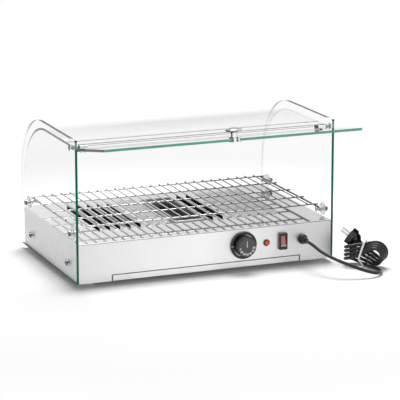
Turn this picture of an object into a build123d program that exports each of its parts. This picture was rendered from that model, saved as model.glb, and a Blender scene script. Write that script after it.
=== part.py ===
from build123d import *
import math
import os

os.makedirs("parts", exist_ok=True)

# Heated display case. X runs along the front, Y from the front to the back, Z up.
# The origin is on the counter, in the middle of the case with its flap open.

# The whole case
WIDTH = 555.0
CASE_DEPTH = 355.0
FOOT_HEIGHT = 10.0
GLASS_HEIGHT = 289.0
BASE_HEIGHT = 80.0
FRONT = -103.9

# Sheet and glass
GLASS = 5.0
SHEET = 1.2
PANEL = 4.5
REAR_CORNER_RADIUS = 145.0

# Places worked out from them
HALF = WIDTH / 2 - GLASS
BOTTOM = FOOT_HEIGHT
DECK = BOTTOM + BASE_HEIGHT
GLASS_TOP = BOTTOM + GLASS_HEIGHT
REAR = FRONT + CASE_DEPTH
BACK = REAR - 5.0
BEND = 2.4

# Holes in the side glass, as (y, z)
SCREW_SPOTS = [(FRONT + 60, BOTTOM + 31), (FRONT + 295, BOTTOM + 31)]
PIN_SPOTS = [(FRONT + 37, BOTTOM + 95.5), (FRONT + 318, BOTTOM + 95.5)]

# The flap, as photographed: open, a little above level
PIVOT_Y = FRONT + 24
PIVOT_Z = BOTTOM + 270.9
OPEN_TILT = 10.7
FLAP_HALF = 268.7
FLAP_REAR = 4.8
FLAP_FRONT = -172.8
FLAP_UNDER = -7.6
FLAP_OVER = FLAP_UNDER + GLASS
HINGE_PIN_RADIUS = 2.0
tilt = math.radians(OPEN_TILT)
FLAP_RUN = (0, math.cos(tilt), -math.sin(tilt))
FLAP_NORMAL = (0, math.sin(tilt), math.cos(tilt))

# Controls on the front panel, as (x, z)
DIAL = (78.0, BOTTOM + 45.6)
LAMP = (129.0, BOTTOM + 45.6)
SWITCH = (164.5, BOTTOM + 46.0)
GLAND = (208.5, BOTTOM + 46.0)
ROCKER_TILT = 10.0

# Deck
LOUVRE_LENGTH = 208.0
LOUVRE_MIDDLE = FRONT + 201.0
LOUVRE_RISE = 5.0
LOUVRE_REACH = 13.0
OUTER_LOUVRES = [106.0, 128.0, 150.0, 172.0, 194.0]
INNER_LOUVRES = [52.0, 74.0]
WATER_MIDDLE = FRONT + 198.0
WATER_WIDTH = 72.0
WATER_LENGTH = 204.0

# Crumb tray
TRAY_HALF = 201.5
TRAY_LIP = 11.0
TRAY_DEPTH = 334.0

# Rack
RACK_LONG_WIRES = [46.0, 115.0, 185.0, 254.0, 322.0]
RACK_PITCH = 20.0
RACK_CROSS_WIRES = 25
RACK_BORDER = 260.0
RACK_Z = BOTTOM + 104.0

# Cord, and the hank it is tied in beside the case
CORD_RADIUS = 3.4
LEAD_OUT = 50.0
HANK_MIDDLE = Vector(322.0, -163.0, 0)
HANK_RUN = Vector(0.6, -0.8, 0)
HANK_ACROSS = Vector(0.8, 0.6, 0)
UPWARD = Vector(0, 0, 1)
LOBE_RADIUS = 20.0
LOBE_CENTRE = 23.0
WAIST = 13.0
TURN_STEP = 8.1
FIRST_TURN = 0.165
LAST_TURN = 4.25
HANK_TWIST = -80.0
TWIST_SPAN = 46.0
LEFT_LOBE_MIDDLE = 23.7
RIGHT_LOBE_MIDDLE = 30.3
PLUG_AIM = Vector(-0.61, 0.54, 0.58).normalized()
PLUG_LENGTH = 38.0


def side_profile(x):
    """Plane across the case at x, with y across and z up."""
    return Plane(origin=(x, 0, 0), x_dir=(0, 1, 0), z_dir=(1, 0, 0))


def flap_profile(x):
    """Plane across the flap at x, with its own run towards the back and its normal up."""
    return Plane(origin=(x, PIVOT_Y, PIVOT_Z), x_dir=FLAP_RUN, z_dir=(1, 0, 0))


def lathe_along_x(y, z):
    """Plane for a turned piece on an axis along X: x along it, radius up."""
    return Plane(origin=(0, y, z), x_dir=(1, 0, 0), z_dir=(0, 0, 1))


def axis_along_x(y, z):
    return Axis((0, y, z), (1, 0, 0))


def lathe_from_front(x, z):
    """Plane for a turned piece that stands out of the front panel: radius across, y along."""
    return Plane(origin=(x, FRONT, z), x_dir=(1, 0, 0), z_dir=(0, 0, 1))


def axis_from_front(x, z):
    return Axis((x, FRONT, z), (0, 1, 0))


front_face = Plane(origin=(0, FRONT, 0), x_dir=(1, 0, 0), z_dir=(0, -1, 0))
flap_face = Plane(origin=(0, PIVOT_Y, PIVOT_Z), x_dir=(1, 0, 0), z_dir=FLAP_NORMAL)


# Base shell: front panel, deck and rear wall folded from one sheet
def louvre_edges():
    """Mouth edge of each louvre and the way it faces, -1 left and +1 right."""
    left = [(-x, -1) for x in OUTER_LOUVRES] + [(-x, 1) for x in INNER_LOUVRES]
    right = [(x, -1) for x in INNER_LOUVRES] + [(x, 1) for x in OUTER_LOUVRES]
    return left + right


louvre_front = Plane(
    origin=(0, LOUVRE_MIDDLE + LOUVRE_LENGTH / 2, 0), x_dir=(1, 0, 0), z_dir=(0, -1, 0)
)

with BuildPart() as base_shell:
    with BuildSketch(side_profile(-HALF)) as folded_sheet:
        with BuildLine():
            Polyline(
                (FRONT, BOTTOM),
                (FRONT, DECK),
                (BACK, DECK),
                (BACK, BOTTOM),
                (BACK - SHEET, BOTTOM),
                (BACK - SHEET, DECK - SHEET),
                (FRONT + SHEET, DECK - SHEET),
                (FRONT + SHEET, BOTTOM),
                close=True,
            )
        make_face()
        fillet(folded_sheet.vertices().group_by(Axis.Y)[-2], BEND - SHEET)
        fillet(folded_sheet.vertices().group_by(Axis.Y)[-1], BEND)
    extrude(amount=2 * HALF)

    # The notch that the crumb tray slides through
    with BuildSketch(front_face) as tray_notch:
        with Locations((0, BOTTOM + (TRAY_LIP + 1.5) / 2)):
            Rectangle(2 * TRAY_HALF + 2, TRAY_LIP + 1.5)
    extrude(amount=-SHEET, mode=Mode.SUBTRACT)

    # Cut-outs of the controls
    with BuildSketch(front_face) as control_cuts:
        with Locations(DIAL):
            Circle(6)
        with Locations((DIAL[0] - 14, DIAL[1]), (DIAL[0] + 14, DIAL[1])):
            Circle(2.1)
        with Locations(LAMP):
            Circle(5.1)
        with Locations(SWITCH):
            Rectangle(13.4, 29.4)
        with Locations(GLAND):
            Circle(8.1)
    extrude(amount=-SHEET, mode=Mode.SUBTRACT)

    # Opening of the water tray
    with BuildSketch(Plane.XY.offset(DECK)) as water_opening:
        with Locations((0, WATER_MIDDLE)):
            RectangleRounded(WATER_WIDTH - 8, WATER_LENGTH - 8, 6)
    extrude(amount=-SHEET, mode=Mode.SUBTRACT)

    # Louvres: raised hoods, open along one long side
    with BuildSketch(louvre_front) as hoods:
        for mouth, facing in louvre_edges():
            with BuildLine():
                Polyline(
                    (mouth, DECK - SHEET),
                    (mouth, DECK + LOUVRE_RISE),
                    (mouth - facing * LOUVRE_REACH, DECK),
                    (mouth - facing * LOUVRE_REACH, DECK - SHEET),
                    close=True,
                )
            make_face()
    extrude(amount=LOUVRE_LENGTH)
    with BuildSketch(louvre_front.offset(SHEET)) as hollows:
        for mouth, facing in louvre_edges():
            with BuildLine():
                Polyline(
                    (mouth + facing * 1.0, DECK),
                    (mouth + facing * 1.0, DECK + LOUVRE_RISE - SHEET),
                    (mouth, DECK + LOUVRE_RISE - SHEET),
                    (mouth - facing * (LOUVRE_REACH - 3.0), DECK),
                    (mouth - facing * (LOUVRE_REACH - 3.0), DECK - SHEET),
                    (mouth, DECK - SHEET),
                    (mouth, DECK),
                    close=True,
                )
            make_face()
    extrude(amount=LOUVRE_LENGTH - 2 * SHEET, mode=Mode.SUBTRACT)

    # Screw holes of the rear wall
    with BuildSketch(Plane.XZ.offset(-BACK)) as rear_holes:
        with Locations((-200, BOTTOM + 45), (0, BOTTOM + 45), (200, BOTTOM + 45)):
            Circle(2.1)
    extrude(amount=SHEET, mode=Mode.SUBTRACT)
base_shell.part.label = "base_shell"
export_step(base_shell.part, "parts/base_shell.step")


# Side plates of the base, inside the ends of the folded sheet
def make_side_plate(outer_x, inward):
    with BuildPart() as plate:
        with BuildSketch(side_profile(outer_x)) as outline:
            with Locations(((FRONT + BACK) / 2, (BOTTOM + DECK - SHEET) / 2)):
                Rectangle(BACK - FRONT - 2 * SHEET, BASE_HEIGHT - SHEET)
            fillet(outline.vertices().group_by(Axis.Y)[-1], BEND - SHEET)
            with Locations(*SCREW_SPOTS):
                Circle(3.5, mode=Mode.SUBTRACT)
        extrude(amount=inward * SHEET)
    return plate


side_plate_left = make_side_plate(-HALF, 1)
side_plate_left.part.label = "side_plate_left"
export_step(side_plate_left.part, "parts/side_plate_left.step")

side_plate_right = make_side_plate(HALF, -1)
side_plate_right.part.label = "side_plate_right"
export_step(side_plate_right.part, "parts/side_plate_right.step")


# Bottom plate: flanges up the sides and beside the notch, slots under the controls
PLATE_HALF = HALF - SHEET
FLANGE = 12.0
FOOT_SPOTS = [
    (x, y) for x in (-242.5, 242.5) for y in (FRONT + 30, FRONT + 322)
]
with BuildPart() as bottom_plate:
    with BuildSketch(Plane.XY.offset(BOTTOM)) as plate_outline:
        with Locations((0, (FRONT + BACK) / 2)):
            Rectangle(2 * PLATE_HALF, BACK - FRONT - 2 * SHEET)
        with Locations((0, FRONT + SHEET)):
            Rectangle(2 * TRAY_HALF + 2, 1.0, mode=Mode.SUBTRACT)
        with Locations(*FOOT_SPOTS):
            Circle(2.7, mode=Mode.SUBTRACT)
        with Locations((235, FRONT + 90)):
            with GridLocations(0, 12, 1, 6):
                SlotOverall(36, 4, mode=Mode.SUBTRACT)
        with Locations((-235, FRONT + 90)):
            with GridLocations(0, 12, 1, 6):
                SlotOverall(36, 4, mode=Mode.SUBTRACT)
    extrude(amount=SHEET)
    with BuildSketch(Plane.XY.offset(BOTTOM)) as flanges:
        for side in (-1, 1):
            with Locations((side * (PLATE_HALF - SHEET / 2), (FRONT + BACK) / 2)):
                Rectangle(SHEET, BACK - FRONT - 2 * SHEET)
            with Locations((side * (PLATE_HALF + TRAY_HALF + 2) / 2, FRONT + 1.5 * SHEET)):
                Rectangle(PLATE_HALF - TRAY_HALF - 2, SHEET)
        with Locations((0, BACK - 1.5 * SHEET)):
            Rectangle(2 * PLATE_HALF, SHEET)
    extrude(amount=FLANGE)
bottom_plate.part.label = "bottom_plate"
export_step(bottom_plate.part, "parts/bottom_plate.step")

# Guides of the crumb tray: two Z-shaped strips on the bottom plate
GUIDE_TOP = BOTTOM + SHEET + 11.6
with BuildPart() as tray_guides:
    with BuildSketch(front_face.offset(-4.0)) as guide_profile:
        for side in (-1, 1):
            with BuildLine():
                Polyline(
                    (side * 216, BOTTOM + SHEET),
                    (side * 202.2, BOTTOM + SHEET),
                    (side * 202.2, GUIDE_TOP - SHEET),
                    (side * 194, GUIDE_TOP - SHEET),
                    (side * 194, GUIDE_TOP),
                    (side * 203.4, GUIDE_TOP),
                    (side * 203.4, BOTTOM + 2 * SHEET),
                    (side * 216, BOTTOM + 2 * SHEET),
                    close=True,
                )
            make_face()
    extrude(amount=-330)
tray_guides.part.label = "crumb_tray_guides"
export_step(tray_guides.part, "parts/crumb_tray_guides.step")

# Crumb tray: a shallow pan with a front lip that closes the notch
PAN_FLOOR = BOTTOM + SHEET + 0.4
PAN_TOP = BOTTOM + 10.8
with BuildPart() as crumb_tray:
    with BuildSketch(Plane.XY.offset(PAN_FLOOR)) as pan_outline:
        with Locations((0, FRONT + SHEET + TRAY_DEPTH / 2)):
            Rectangle(401, TRAY_DEPTH)
    extrude(amount=PAN_TOP - PAN_FLOOR)
    with BuildSketch(Plane.XY.offset(PAN_FLOOR + 1.0)) as pan_inside:
        with Locations((0, FRONT + SHEET + TRAY_DEPTH / 2)):
            RectangleRounded(399, TRAY_DEPTH - 2, 3)
    extrude(amount=PAN_TOP - PAN_FLOOR, mode=Mode.SUBTRACT)
    with BuildSketch(front_face) as lip:
        with Locations((0, BOTTOM + 0.5 + TRAY_LIP / 2)):
            Rectangle(2 * TRAY_HALF, TRAY_LIP)
    extrude(amount=-SHEET)
crumb_tray.part.label = "crumb_tray"
export_step(crumb_tray.part, "parts/crumb_tray.step")

# Water tray: a drawn pan that hangs by its rounded rim in the deck
WATER_DROP = 24.0
WATER_WALL = 1.0
with BuildPart() as water_tray:
    with BuildSketch(Plane.XY.offset(DECK)) as rim:
        with Locations((0, WATER_MIDDLE)):
            RectangleRounded(WATER_WIDTH, WATER_LENGTH, 11)
    extrude(amount=3.0)
    fillet(water_tray.edges().filter_by(Plane.XY).group_by(Axis.Z)[-1], 1.6)
    with BuildSketch(Plane.XY.offset(DECK)) as pan_body:
        with Locations((0, WATER_MIDDLE)):
            RectangleRounded(WATER_WIDTH - 9, WATER_LENGTH - 9, 6)
    extrude(amount=-WATER_DROP, taper=6)
    with BuildSketch(Plane.XY.offset(DECK + 3.0)) as pan_hollow:
        with Locations((0, WATER_MIDDLE)):
            RectangleRounded(WATER_WIDTH - 9 - 2 * WATER_WALL, WATER_LENGTH - 9 - 2 * WATER_WALL, 5)
    extrude(amount=-(WATER_DROP + 3.0 - WATER_WALL), taper=5.6, mode=Mode.SUBTRACT)
water_tray.part.label = "water_tray"
export_step(water_tray.part, "parts/water_tray.step")


# Side glass: straight front, large rounded rear corner
def make_side_glass(inner_x, outward):
    with BuildPart() as pane:
        with BuildSketch(side_profile(inner_x)) as outline:
            with BuildLine():
                Polyline(
                    (REAR, GLASS_TOP - REAR_CORNER_RADIUS),
                    (REAR, BOTTOM),
                    (FRONT, BOTTOM),
                    (FRONT, GLASS_TOP - 2),
                    (FRONT + 2, GLASS_TOP),
                    (REAR - REAR_CORNER_RADIUS, GLASS_TOP),
                )
                RadiusArc(
                    (REAR - REAR_CORNER_RADIUS, GLASS_TOP),
                    (REAR, GLASS_TOP - REAR_CORNER_RADIUS),
                    REAR_CORNER_RADIUS,
                )
            make_face()
            with Locations(*SCREW_SPOTS):
                Circle(3.0, mode=Mode.SUBTRACT)
            with Locations(*PIN_SPOTS):
                Circle(3.3, mode=Mode.SUBTRACT)
            with Locations((PIVOT_Y, PIVOT_Z)):
                Circle(4.0, mode=Mode.SUBTRACT)
        extrude(amount=outward * GLASS)
    return pane


side_glass_left = make_side_glass(-HALF, -1)
side_glass_left.part.label = "side_glass_left"
export_step(side_glass_left.part, "parts/side_glass_left.step")

side_glass_right = make_side_glass(HALF, 1)
side_glass_right.part.label = "side_glass_right"
export_step(side_glass_right.part, "parts/side_glass_right.step")

# Roof and rear wall: one bent clear sheet that overlaps the rear wall of the base
ROOF_TOP = BOTTOM + 273.5
ROOF_FRONT = FRONT + 35.0
ROOF_RADIUS = 154.5
ROOF_OUTER = BACK + PANEL
ROOF_FOOT = BOTTOM + 22.0
with BuildPart() as roof_panel:
    with BuildSketch(side_profile(-HALF + 0.2)) as bent_sheet:
        with BuildLine():
            roof_line = Line((ROOF_FRONT, ROOF_TOP), (ROOF_OUTER - ROOF_RADIUS, ROOF_TOP))
            outer_bend = RadiusArc(
                roof_line @ 1, (ROOF_OUTER, ROOF_TOP - ROOF_RADIUS), ROOF_RADIUS
            )
            Polyline(
                outer_bend @ 1,
                (ROOF_OUTER, ROOF_FOOT),
                (ROOF_OUTER - PANEL, ROOF_FOOT),
                (ROOF_OUTER - PANEL, ROOF_TOP - ROOF_RADIUS),
            )
            RadiusArc(
                (ROOF_OUTER - PANEL, ROOF_TOP - ROOF_RADIUS),
                (ROOF_OUTER - ROOF_RADIUS, ROOF_TOP - PANEL),
                -(ROOF_RADIUS - PANEL),
            )
            Polyline(
                (ROOF_OUTER - ROOF_RADIUS, ROOF_TOP - PANEL),
                (ROOF_FRONT, ROOF_TOP - PANEL),
                (ROOF_FRONT, ROOF_TOP),
            )
        make_face()
    extrude(amount=2 * HALF - 0.4)
    with BuildSketch(Plane.XZ.offset(-ROOF_OUTER)) as foot_holes:
        with Locations((-200, BOTTOM + 45), (0, BOTTOM + 45), (200, BOTTOM + 45)):
            Circle(2.4)
    extrude(amount=PANEL, mode=Mode.SUBTRACT)
roof_panel.part.label = "roof_panel"
export_step(roof_panel.part, "parts/roof_panel.step")

# Screws at the foot of the rear wall
with BuildPart() as rear_screws:
    for x in (-200, 0, 200):
        screw_plane = Plane(
            origin=(x, ROOF_OUTER, BOTTOM + 45), x_dir=(1, 0, 0), z_dir=(0, 0, 1)
        )
        with BuildSketch(screw_plane) as screw_half:
            with BuildLine():
                Polyline((0, 2.8), (0, -9), (2, -9), (2, 0), (4.2, 0), (4.2, 1.2))
                TangentArc((0, 2.8), (4.2, 1.2), tangent=(1, 0))
            make_face()
        revolve(axis=Axis((x, ROOF_OUTER, BOTTOM + 45), (0, 1, 0)))
rear_screws.part.label = "rear_wall_screws"
export_step(rear_screws.part, "parts/rear_wall_screws.step")


# Turned pieces on the side glass, the same on both sides
def turn_on_both_sides(points, y, z):
    """Revolve a stepped outline about an axis along X, on the right and mirrored on the left."""
    for side in (1, -1):
        with BuildSketch(lathe_along_x(y, z)) as half_outline:
            with BuildLine():
                Polyline(*[(side * x, radius) for x, radius in points], close=True)
            make_face()
        revolve(half_outline.sketch, axis=axis_along_x(y, z))


OUTSIDE = HALF + GLASS

with BuildPart() as glass_screw_washers:
    for y, z in SCREW_SPOTS:
        turn_on_both_sides(
            [(OUTSIDE, 2.2), (OUTSIDE, 6.5), (OUTSIDE + 1.0, 6.5), (OUTSIDE + 1.0, 2.2)], y, z
        )
glass_screw_washers.part.label = "glass_screw_washers"
export_step(glass_screw_washers.part, "parts/glass_screw_washers.step")

with BuildPart() as glass_screws:
    head = OUTSIDE + 1.0
    for y, z in SCREW_SPOTS:
        turn_on_both_sides(
            [
                (HALF - 12, 0),
                (HALF - 12, 2.0),
                (head, 2.0),
                (head, 5.0),
                (head + 0.9, 4.8),
                (head + 1.9, 3.6),
                (head + 2.4, 1.6),
                (head + 2.4, 0),
            ],
            y,
            z,
        )
    for y, z in SCREW_SPOTS:
        for side in (-1, 1):
            with BuildSketch(side_profile(side * (head + 2.4))) as cross:
                with Locations((y, z)):
                    Rectangle(5.2, 1.0)
                    Rectangle(1.0, 5.2)
            extrude(amount=-side * 1.4, mode=Mode.SUBTRACT)
glass_screws.part.label = "glass_screws"
export_step(glass_screws.part, "parts/glass_screws.step")

with BuildPart() as rivet_nuts:
    for y, z in SCREW_SPOTS:
        turn_on_both_sides(
            [(HALF, 2.0), (HALF, 3.5), (HALF - SHEET, 3.5), (HALF - SHEET, 5.0)]
            + [(HALF - SHEET - 2, 5.0), (HALF - SHEET - 4, 3.5), (HALF - 11, 3.5), (HALF - 11, 2.0)],
            y,
            z,
        )
rivet_nuts.part.label = "rivet_nuts"
export_step(rivet_nuts.part, "parts/rivet_nuts.step")

# Spool pins that carry the rack: the border wire lies in the groove
GROOVE_X = 260.0
with BuildPart() as rack_pins:
    for y, z in PIN_SPOTS:
        turn_on_both_sides(
            [
                (GROOVE_X - 4.2, 0),
                (GROOVE_X - 4.2, 4.4),
                (GROOVE_X - 3.6, 5.0),
                (GROOVE_X - 2.8, 5.0),
                (GROOVE_X - 2.1, 3.0),
                (GROOVE_X + 2.1, 3.0),
                (GROOVE_X + 2.8, 5.0),
                (GROOVE_X + 3.8, 5.0),
                (GROOVE_X + 4.6, 4.2),
                (HALF - 3.0, 4.2),
                (HALF - 3.0, 2.5),
                (OUTSIDE + 3.6, 2.5),
                (OUTSIDE + 3.6, 0),
            ],
            y,
            z,
        )
rack_pins.part.label = "rack_pins"
export_step(rack_pins.part, "parts/rack_pins.step")

with BuildPart() as rack_pin_discs:
    for y, z in PIN_SPOTS:
        turn_on_both_sides(
            [
                (HALF, 2.5),
                (HALF, 13.5),
                (HALF - 2.2, 13.5),
                (HALF - 3.0, 12.7),
                (HALF - 3.0, 2.5),
            ],
            y,
            z,
        )
rack_pin_discs.part.label = "rack_pin_discs"
export_step(rack_pin_discs.part, "parts/rack_pin_discs.step")

with BuildPart() as rack_pin_caps:
    for y, z in PIN_SPOTS:
        turn_on_both_sides(
            [
                (OUTSIDE, 2.5),
                (OUTSIDE, 6.0),
                (OUTSIDE + 2.0, 6.0),
                (OUTSIDE + 3.4, 5.2),
                (OUTSIDE + 4.4, 3.6),
                (OUTSIDE + 4.8, 1.6),
                (OUTSIDE + 4.8, 0),
                (OUTSIDE + 3.6, 0),
                (OUTSIDE + 3.6, 2.5),
            ],
            y,
            z,
        )
rack_pin_caps.part.label = "rack_pin_caps"
export_step(rack_pin_caps.part, "parts/rack_pin_caps.step")

# Wire rack: long wires, cross wires welded on top, thicker border wires beneath
BORDER_RADIUS = 2.0
LONG_RADIUS = 1.5
CROSS_RADIUS = 1.25
WELD = 0.25
long_ends = RACK_BORDER + 5.0
cross_front = FRONT + RACK_LONG_WIRES[0] - 3.0
cross_back = FRONT + RACK_LONG_WIRES[-1] + 3.0
long_z = RACK_Z
cross_z = long_z + LONG_RADIUS + CROSS_RADIUS - WELD
border_z = long_z - LONG_RADIUS - BORDER_RADIUS + WELD
with BuildPart() as wire_rack:
    with BuildSketch(side_profile(-long_ends)) as long_sections:
        with Locations(*[(FRONT + y, long_z) for y in RACK_LONG_WIRES]):
            Circle(LONG_RADIUS)
    extrude(amount=2 * long_ends)
    with BuildSketch(Plane.XZ.offset(-cross_front)) as cross_sections:
        with Locations((0, cross_z)):
            with GridLocations(RACK_PITCH, 0, RACK_CROSS_WIRES, 1):
                Circle(CROSS_RADIUS)
    extrude(amount=-(cross_back - cross_front))
    with BuildSketch(Plane.XZ.offset(-(FRONT + 33.0))) as border_sections:
        with Locations((-RACK_BORDER, border_z), (RACK_BORDER, border_z)):
            Circle(BORDER_RADIUS)
    extrude(amount=-296.0)
wire_rack.part.label = "wire_rack"
export_step(wire_rack.part, "parts/wire_rack.step")

# Flap
with BuildPart() as door_glass:
    with BuildSketch(flap_face.offset(FLAP_UNDER)) as flap_outline:
        with Locations((0, (FLAP_FRONT + FLAP_REAR) / 2)):
            RectangleRounded(2 * FLAP_HALF, FLAP_REAR - FLAP_FRONT, 1.5)
    extrude(amount=GLASS)
door_glass.part.label = "door_glass"
export_step(door_glass.part, "parts/door_glass.step")


# Hinge clamps: a jaw on each face of the glass, with the knuckle on the upper one
JAW_LOW = FLAP_UNDER - 1.6
JAW_TOP = 3.6
CLAMP_FRONT = -14.0
CLAMP_REAR = FLAP_REAR + 1.8


def make_hinge_clamp(side):
    inner, outer = 247.5, 263.5
    with BuildPart() as clamp:
        with BuildSketch(flap_profile(side * inner)) as clamp_outline:
            with BuildLine():
                Polyline(
                    (CLAMP_FRONT, JAW_LOW),
                    (CLAMP_REAR, JAW_LOW),
                    (CLAMP_REAR, JAW_TOP),
                    (CLAMP_FRONT, JAW_TOP),
                    (CLAMP_FRONT, FLAP_OVER),
                    (FLAP_REAR, FLAP_OVER),
                    (FLAP_REAR, FLAP_UNDER),
                    (CLAMP_FRONT, FLAP_UNDER),
                    close=True,
                )
            make_face()
            rear_corners = clamp_outline.vertices().group_by(Axis.X)[-1]
            fillet(rear_corners, 2.4)
            fillet(clamp_outline.vertices().group_by(Axis.Y)[-1].sort_by(Axis.X)[0], 2.0)
        extrude(amount=side * (outer - inner))
        with BuildSketch(flap_profile(side * outer)) as knuckle:
            Circle(4.0)
            with Locations((0, FLAP_OVER - 2)):
                Rectangle(12, 4, mode=Mode.SUBTRACT)
        extrude(amount=side * 5.0)
        with BuildSketch(flap_profile(side * 255.0)) as pin_bore:
            Circle(HINGE_PIN_RADIUS)
        extrude(amount=side * 15.0, mode=Mode.SUBTRACT)
        with BuildSketch(flap_face.offset(JAW_LOW)) as screw_bores:
            with Locations((side * 251.5, -7), (side * 259.5, -7)):
                Circle(1.6)
        extrude(amount=1.6, mode=Mode.SUBTRACT)
    return clamp


hinge_clamp_left = make_hinge_clamp(-1)
hinge_clamp_left.part.label = "hinge_clamp_left"
export_step(hinge_clamp_left.part, "parts/hinge_clamp_left.step")

hinge_clamp_right = make_hinge_clamp(1)
hinge_clamp_right.part.label = "hinge_clamp_right"
export_step(hinge_clamp_right.part, "parts/hinge_clamp_right.step")

# Grub screws under the clamps
with BuildPart() as clamp_screws:
    with BuildSketch(flap_face.offset(JAW_LOW - 2.2)) as grubs:
        with Locations(*[(side * x, -7) for side in (-1, 1) for x in (251.5, 259.5)]):
            Circle(1.6)
    extrude(amount=3.8)
    with BuildSketch(flap_face.offset(JAW_LOW - 2.2)) as sockets:
        with Locations(*[(side * x, -7) for side in (-1, 1) for x in (251.5, 259.5)]):
            RegularPolygon(0.85, 6)
    extrude(amount=1.2, mode=Mode.SUBTRACT)
clamp_screws.part.label = "clamp_screws"
export_step(clamp_screws.part, "parts/clamp_screws.step")

# Hinge pins, their bushes in the side glass and their outer caps
BUSH_BORE = HINGE_PIN_RADIUS + 0.05
with BuildPart() as hinge_pins:
    turn_on_both_sides(
        [(255.0, 0), (255.0, 2.0), (OUTSIDE + 3.4, 2.0), (OUTSIDE + 3.4, 0)], PIVOT_Y, PIVOT_Z
    )
hinge_pins.part.label = "hinge_pins"
export_step(hinge_pins.part, "parts/hinge_pins.step")

with BuildPart() as hinge_bushes:
    turn_on_both_sides(
        [
            (HALF - 3.3, BUSH_BORE),
            (HALF - 3.3, 5.0),
            (HALF, 5.0),
            (HALF, 4.0),
            (OUTSIDE + 0.4, 4.0),
            (OUTSIDE + 0.4, BUSH_BORE),
        ],
        PIVOT_Y,
        PIVOT_Z,
    )
hinge_bushes.part.label = "hinge_bushes"
export_step(hinge_bushes.part, "parts/hinge_bushes.step")

with BuildPart() as hinge_caps:
    turn_on_both_sides(
        [
            (OUTSIDE + 0.8, 2.0),
            (OUTSIDE + 0.8, 6.0),
            (OUTSIDE + 2.6, 6.0),
            (OUTSIDE + 3.8, 5.0),
            (OUTSIDE + 4.6, 3.0),
            (OUTSIDE + 4.8, 0),
            (OUTSIDE + 3.4, 0),
            (OUTSIDE + 3.4, 2.0),
        ],
        PIVOT_Y,
        PIVOT_Z,
    )
hinge_caps.part.label = "hinge_caps"
export_step(hinge_caps.part, "parts/hinge_caps.step")

# Handle: a clamp on the free edge, a screw and a mushroom knob on the outer face
HANDLE_RUN = -162.5
HANDLE_TOP = 19.5
HANDLE_HEAD = 17.0
with BuildPart() as handle_clamp:
    with BuildSketch(flap_profile(-8)) as grip:
        with BuildLine():
            Polyline(
                (-155, JAW_LOW),
                (FLAP_FRONT - 2, JAW_LOW),
                (FLAP_FRONT - 2, 0.4),
                (-155, 0.4),
                (-155, FLAP_OVER),
                (FLAP_FRONT, FLAP_OVER),
                (FLAP_FRONT, FLAP_UNDER),
                (-155, FLAP_UNDER),
                close=True,
            )
        make_face()
        fillet(grip.vertices().group_by(Axis.X)[0], 1.4)
    extrude(amount=16)
    with BuildSketch(flap_face.offset(FLAP_OVER)) as handle_bore:
        with Locations((0, HANDLE_RUN)):
            Circle(2.0)
    extrude(amount=3.0, mode=Mode.SUBTRACT)
handle_clamp.part.label = "handle_clamp"
export_step(handle_clamp.part, "parts/handle_clamp.step")

knob_tilt = Plane(
    origin=flap_face.from_local_coords((0, HANDLE_RUN, 0)),
    x_dir=(1, 0, 0),
    z_dir=flap_face.y_dir * -1,
)
knob_axis = Axis(knob_tilt.origin, flap_face.z_dir)
with BuildPart() as handle_knob:
    with BuildSketch(knob_tilt) as knob_half:
        with BuildLine():
            Polyline(
                (0, HANDLE_TOP),
                (0, 10),
                (2.0, 10),
                (2.0, 0.4),
                (6.5, 0.4),
                (6.0, 3.0),
                (6.0, 8.5),
                (HANDLE_HEAD - 2, 11.8),
                (HANDLE_HEAD, 13.4),
                (HANDLE_HEAD, 14.6),
            )
            TangentArc((0, HANDLE_TOP), (HANDLE_HEAD, 14.6), tangent=(1, 0))
        make_face()
    revolve(axis=knob_axis)
handle_knob.part.label = "handle_knob"
export_step(handle_knob.part, "parts/handle_knob.step")

with BuildPart() as handle_screw:
    with BuildSketch(knob_tilt) as handle_screw_half:
        with BuildLine():
            Polyline((0, FLAP_OVER + 0.3), (2.0, FLAP_OVER + 0.3), (2.0, 10), (0, 10), close=True)
        make_face()
    revolve(axis=knob_axis)
handle_screw.part.label = "handle_screw"
export_step(handle_screw.part, "parts/handle_screw.step")

# Thermostat: dial ring, knob on its shaft, body and its two screws behind the panel
with BuildPart() as thermostat_ring:
    with BuildSketch(lathe_from_front(*DIAL)) as ring_half:
        with BuildLine():
            Polyline((23.0, 0), (28.5, 0), (28.5, -2.6))
            ThreePointArc((28.5, -2.6), (27.6, -4.5), (25.6, -5.2))
            Polyline((25.6, -5.2), (23.6, -5.0), (23.0, -4.2), (23.0, 0))
        make_face()
    revolve(axis=axis_from_front(*DIAL))
thermostat_ring.part.label = "thermostat_ring"
export_step(thermostat_ring.part, "parts/thermostat_ring.step")

KNOB_FACE = -21.0
SHAFT_RADIUS = 3.0
with BuildPart() as thermostat_knob:
    with BuildSketch(lathe_from_front(*DIAL)) as dial_half:
        with BuildLine():
            Polyline(
                (SHAFT_RADIUS, -3.0),
                (SHAFT_RADIUS, -15.0),
                (0, -15.0),
                (0, KNOB_FACE),
                (19.0, KNOB_FACE),
                (20.5, KNOB_FACE + 1.5),
                (21.4, -2.0),
                (19.4, -2.0),
                (18.2, -17.5),
                (7.0, -17.5),
                (7.0, -3.0),
                close=True,
            )
        make_face()
    revolve(axis=axis_from_front(*DIAL))
thermostat_knob.part.label = "thermostat_knob"
export_step(thermostat_knob.part, "parts/thermostat_knob.step")

with BuildPart() as thermostat_shaft:
    with BuildSketch(front_face.offset(15.0)) as shaft_round:
        with Locations(DIAL):
            Circle(SHAFT_RADIUS)
    extrude(amount=-31.0)
thermostat_shaft.part.label = "thermostat_shaft"
export_step(thermostat_shaft.part, "parts/thermostat_shaft.step")

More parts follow.
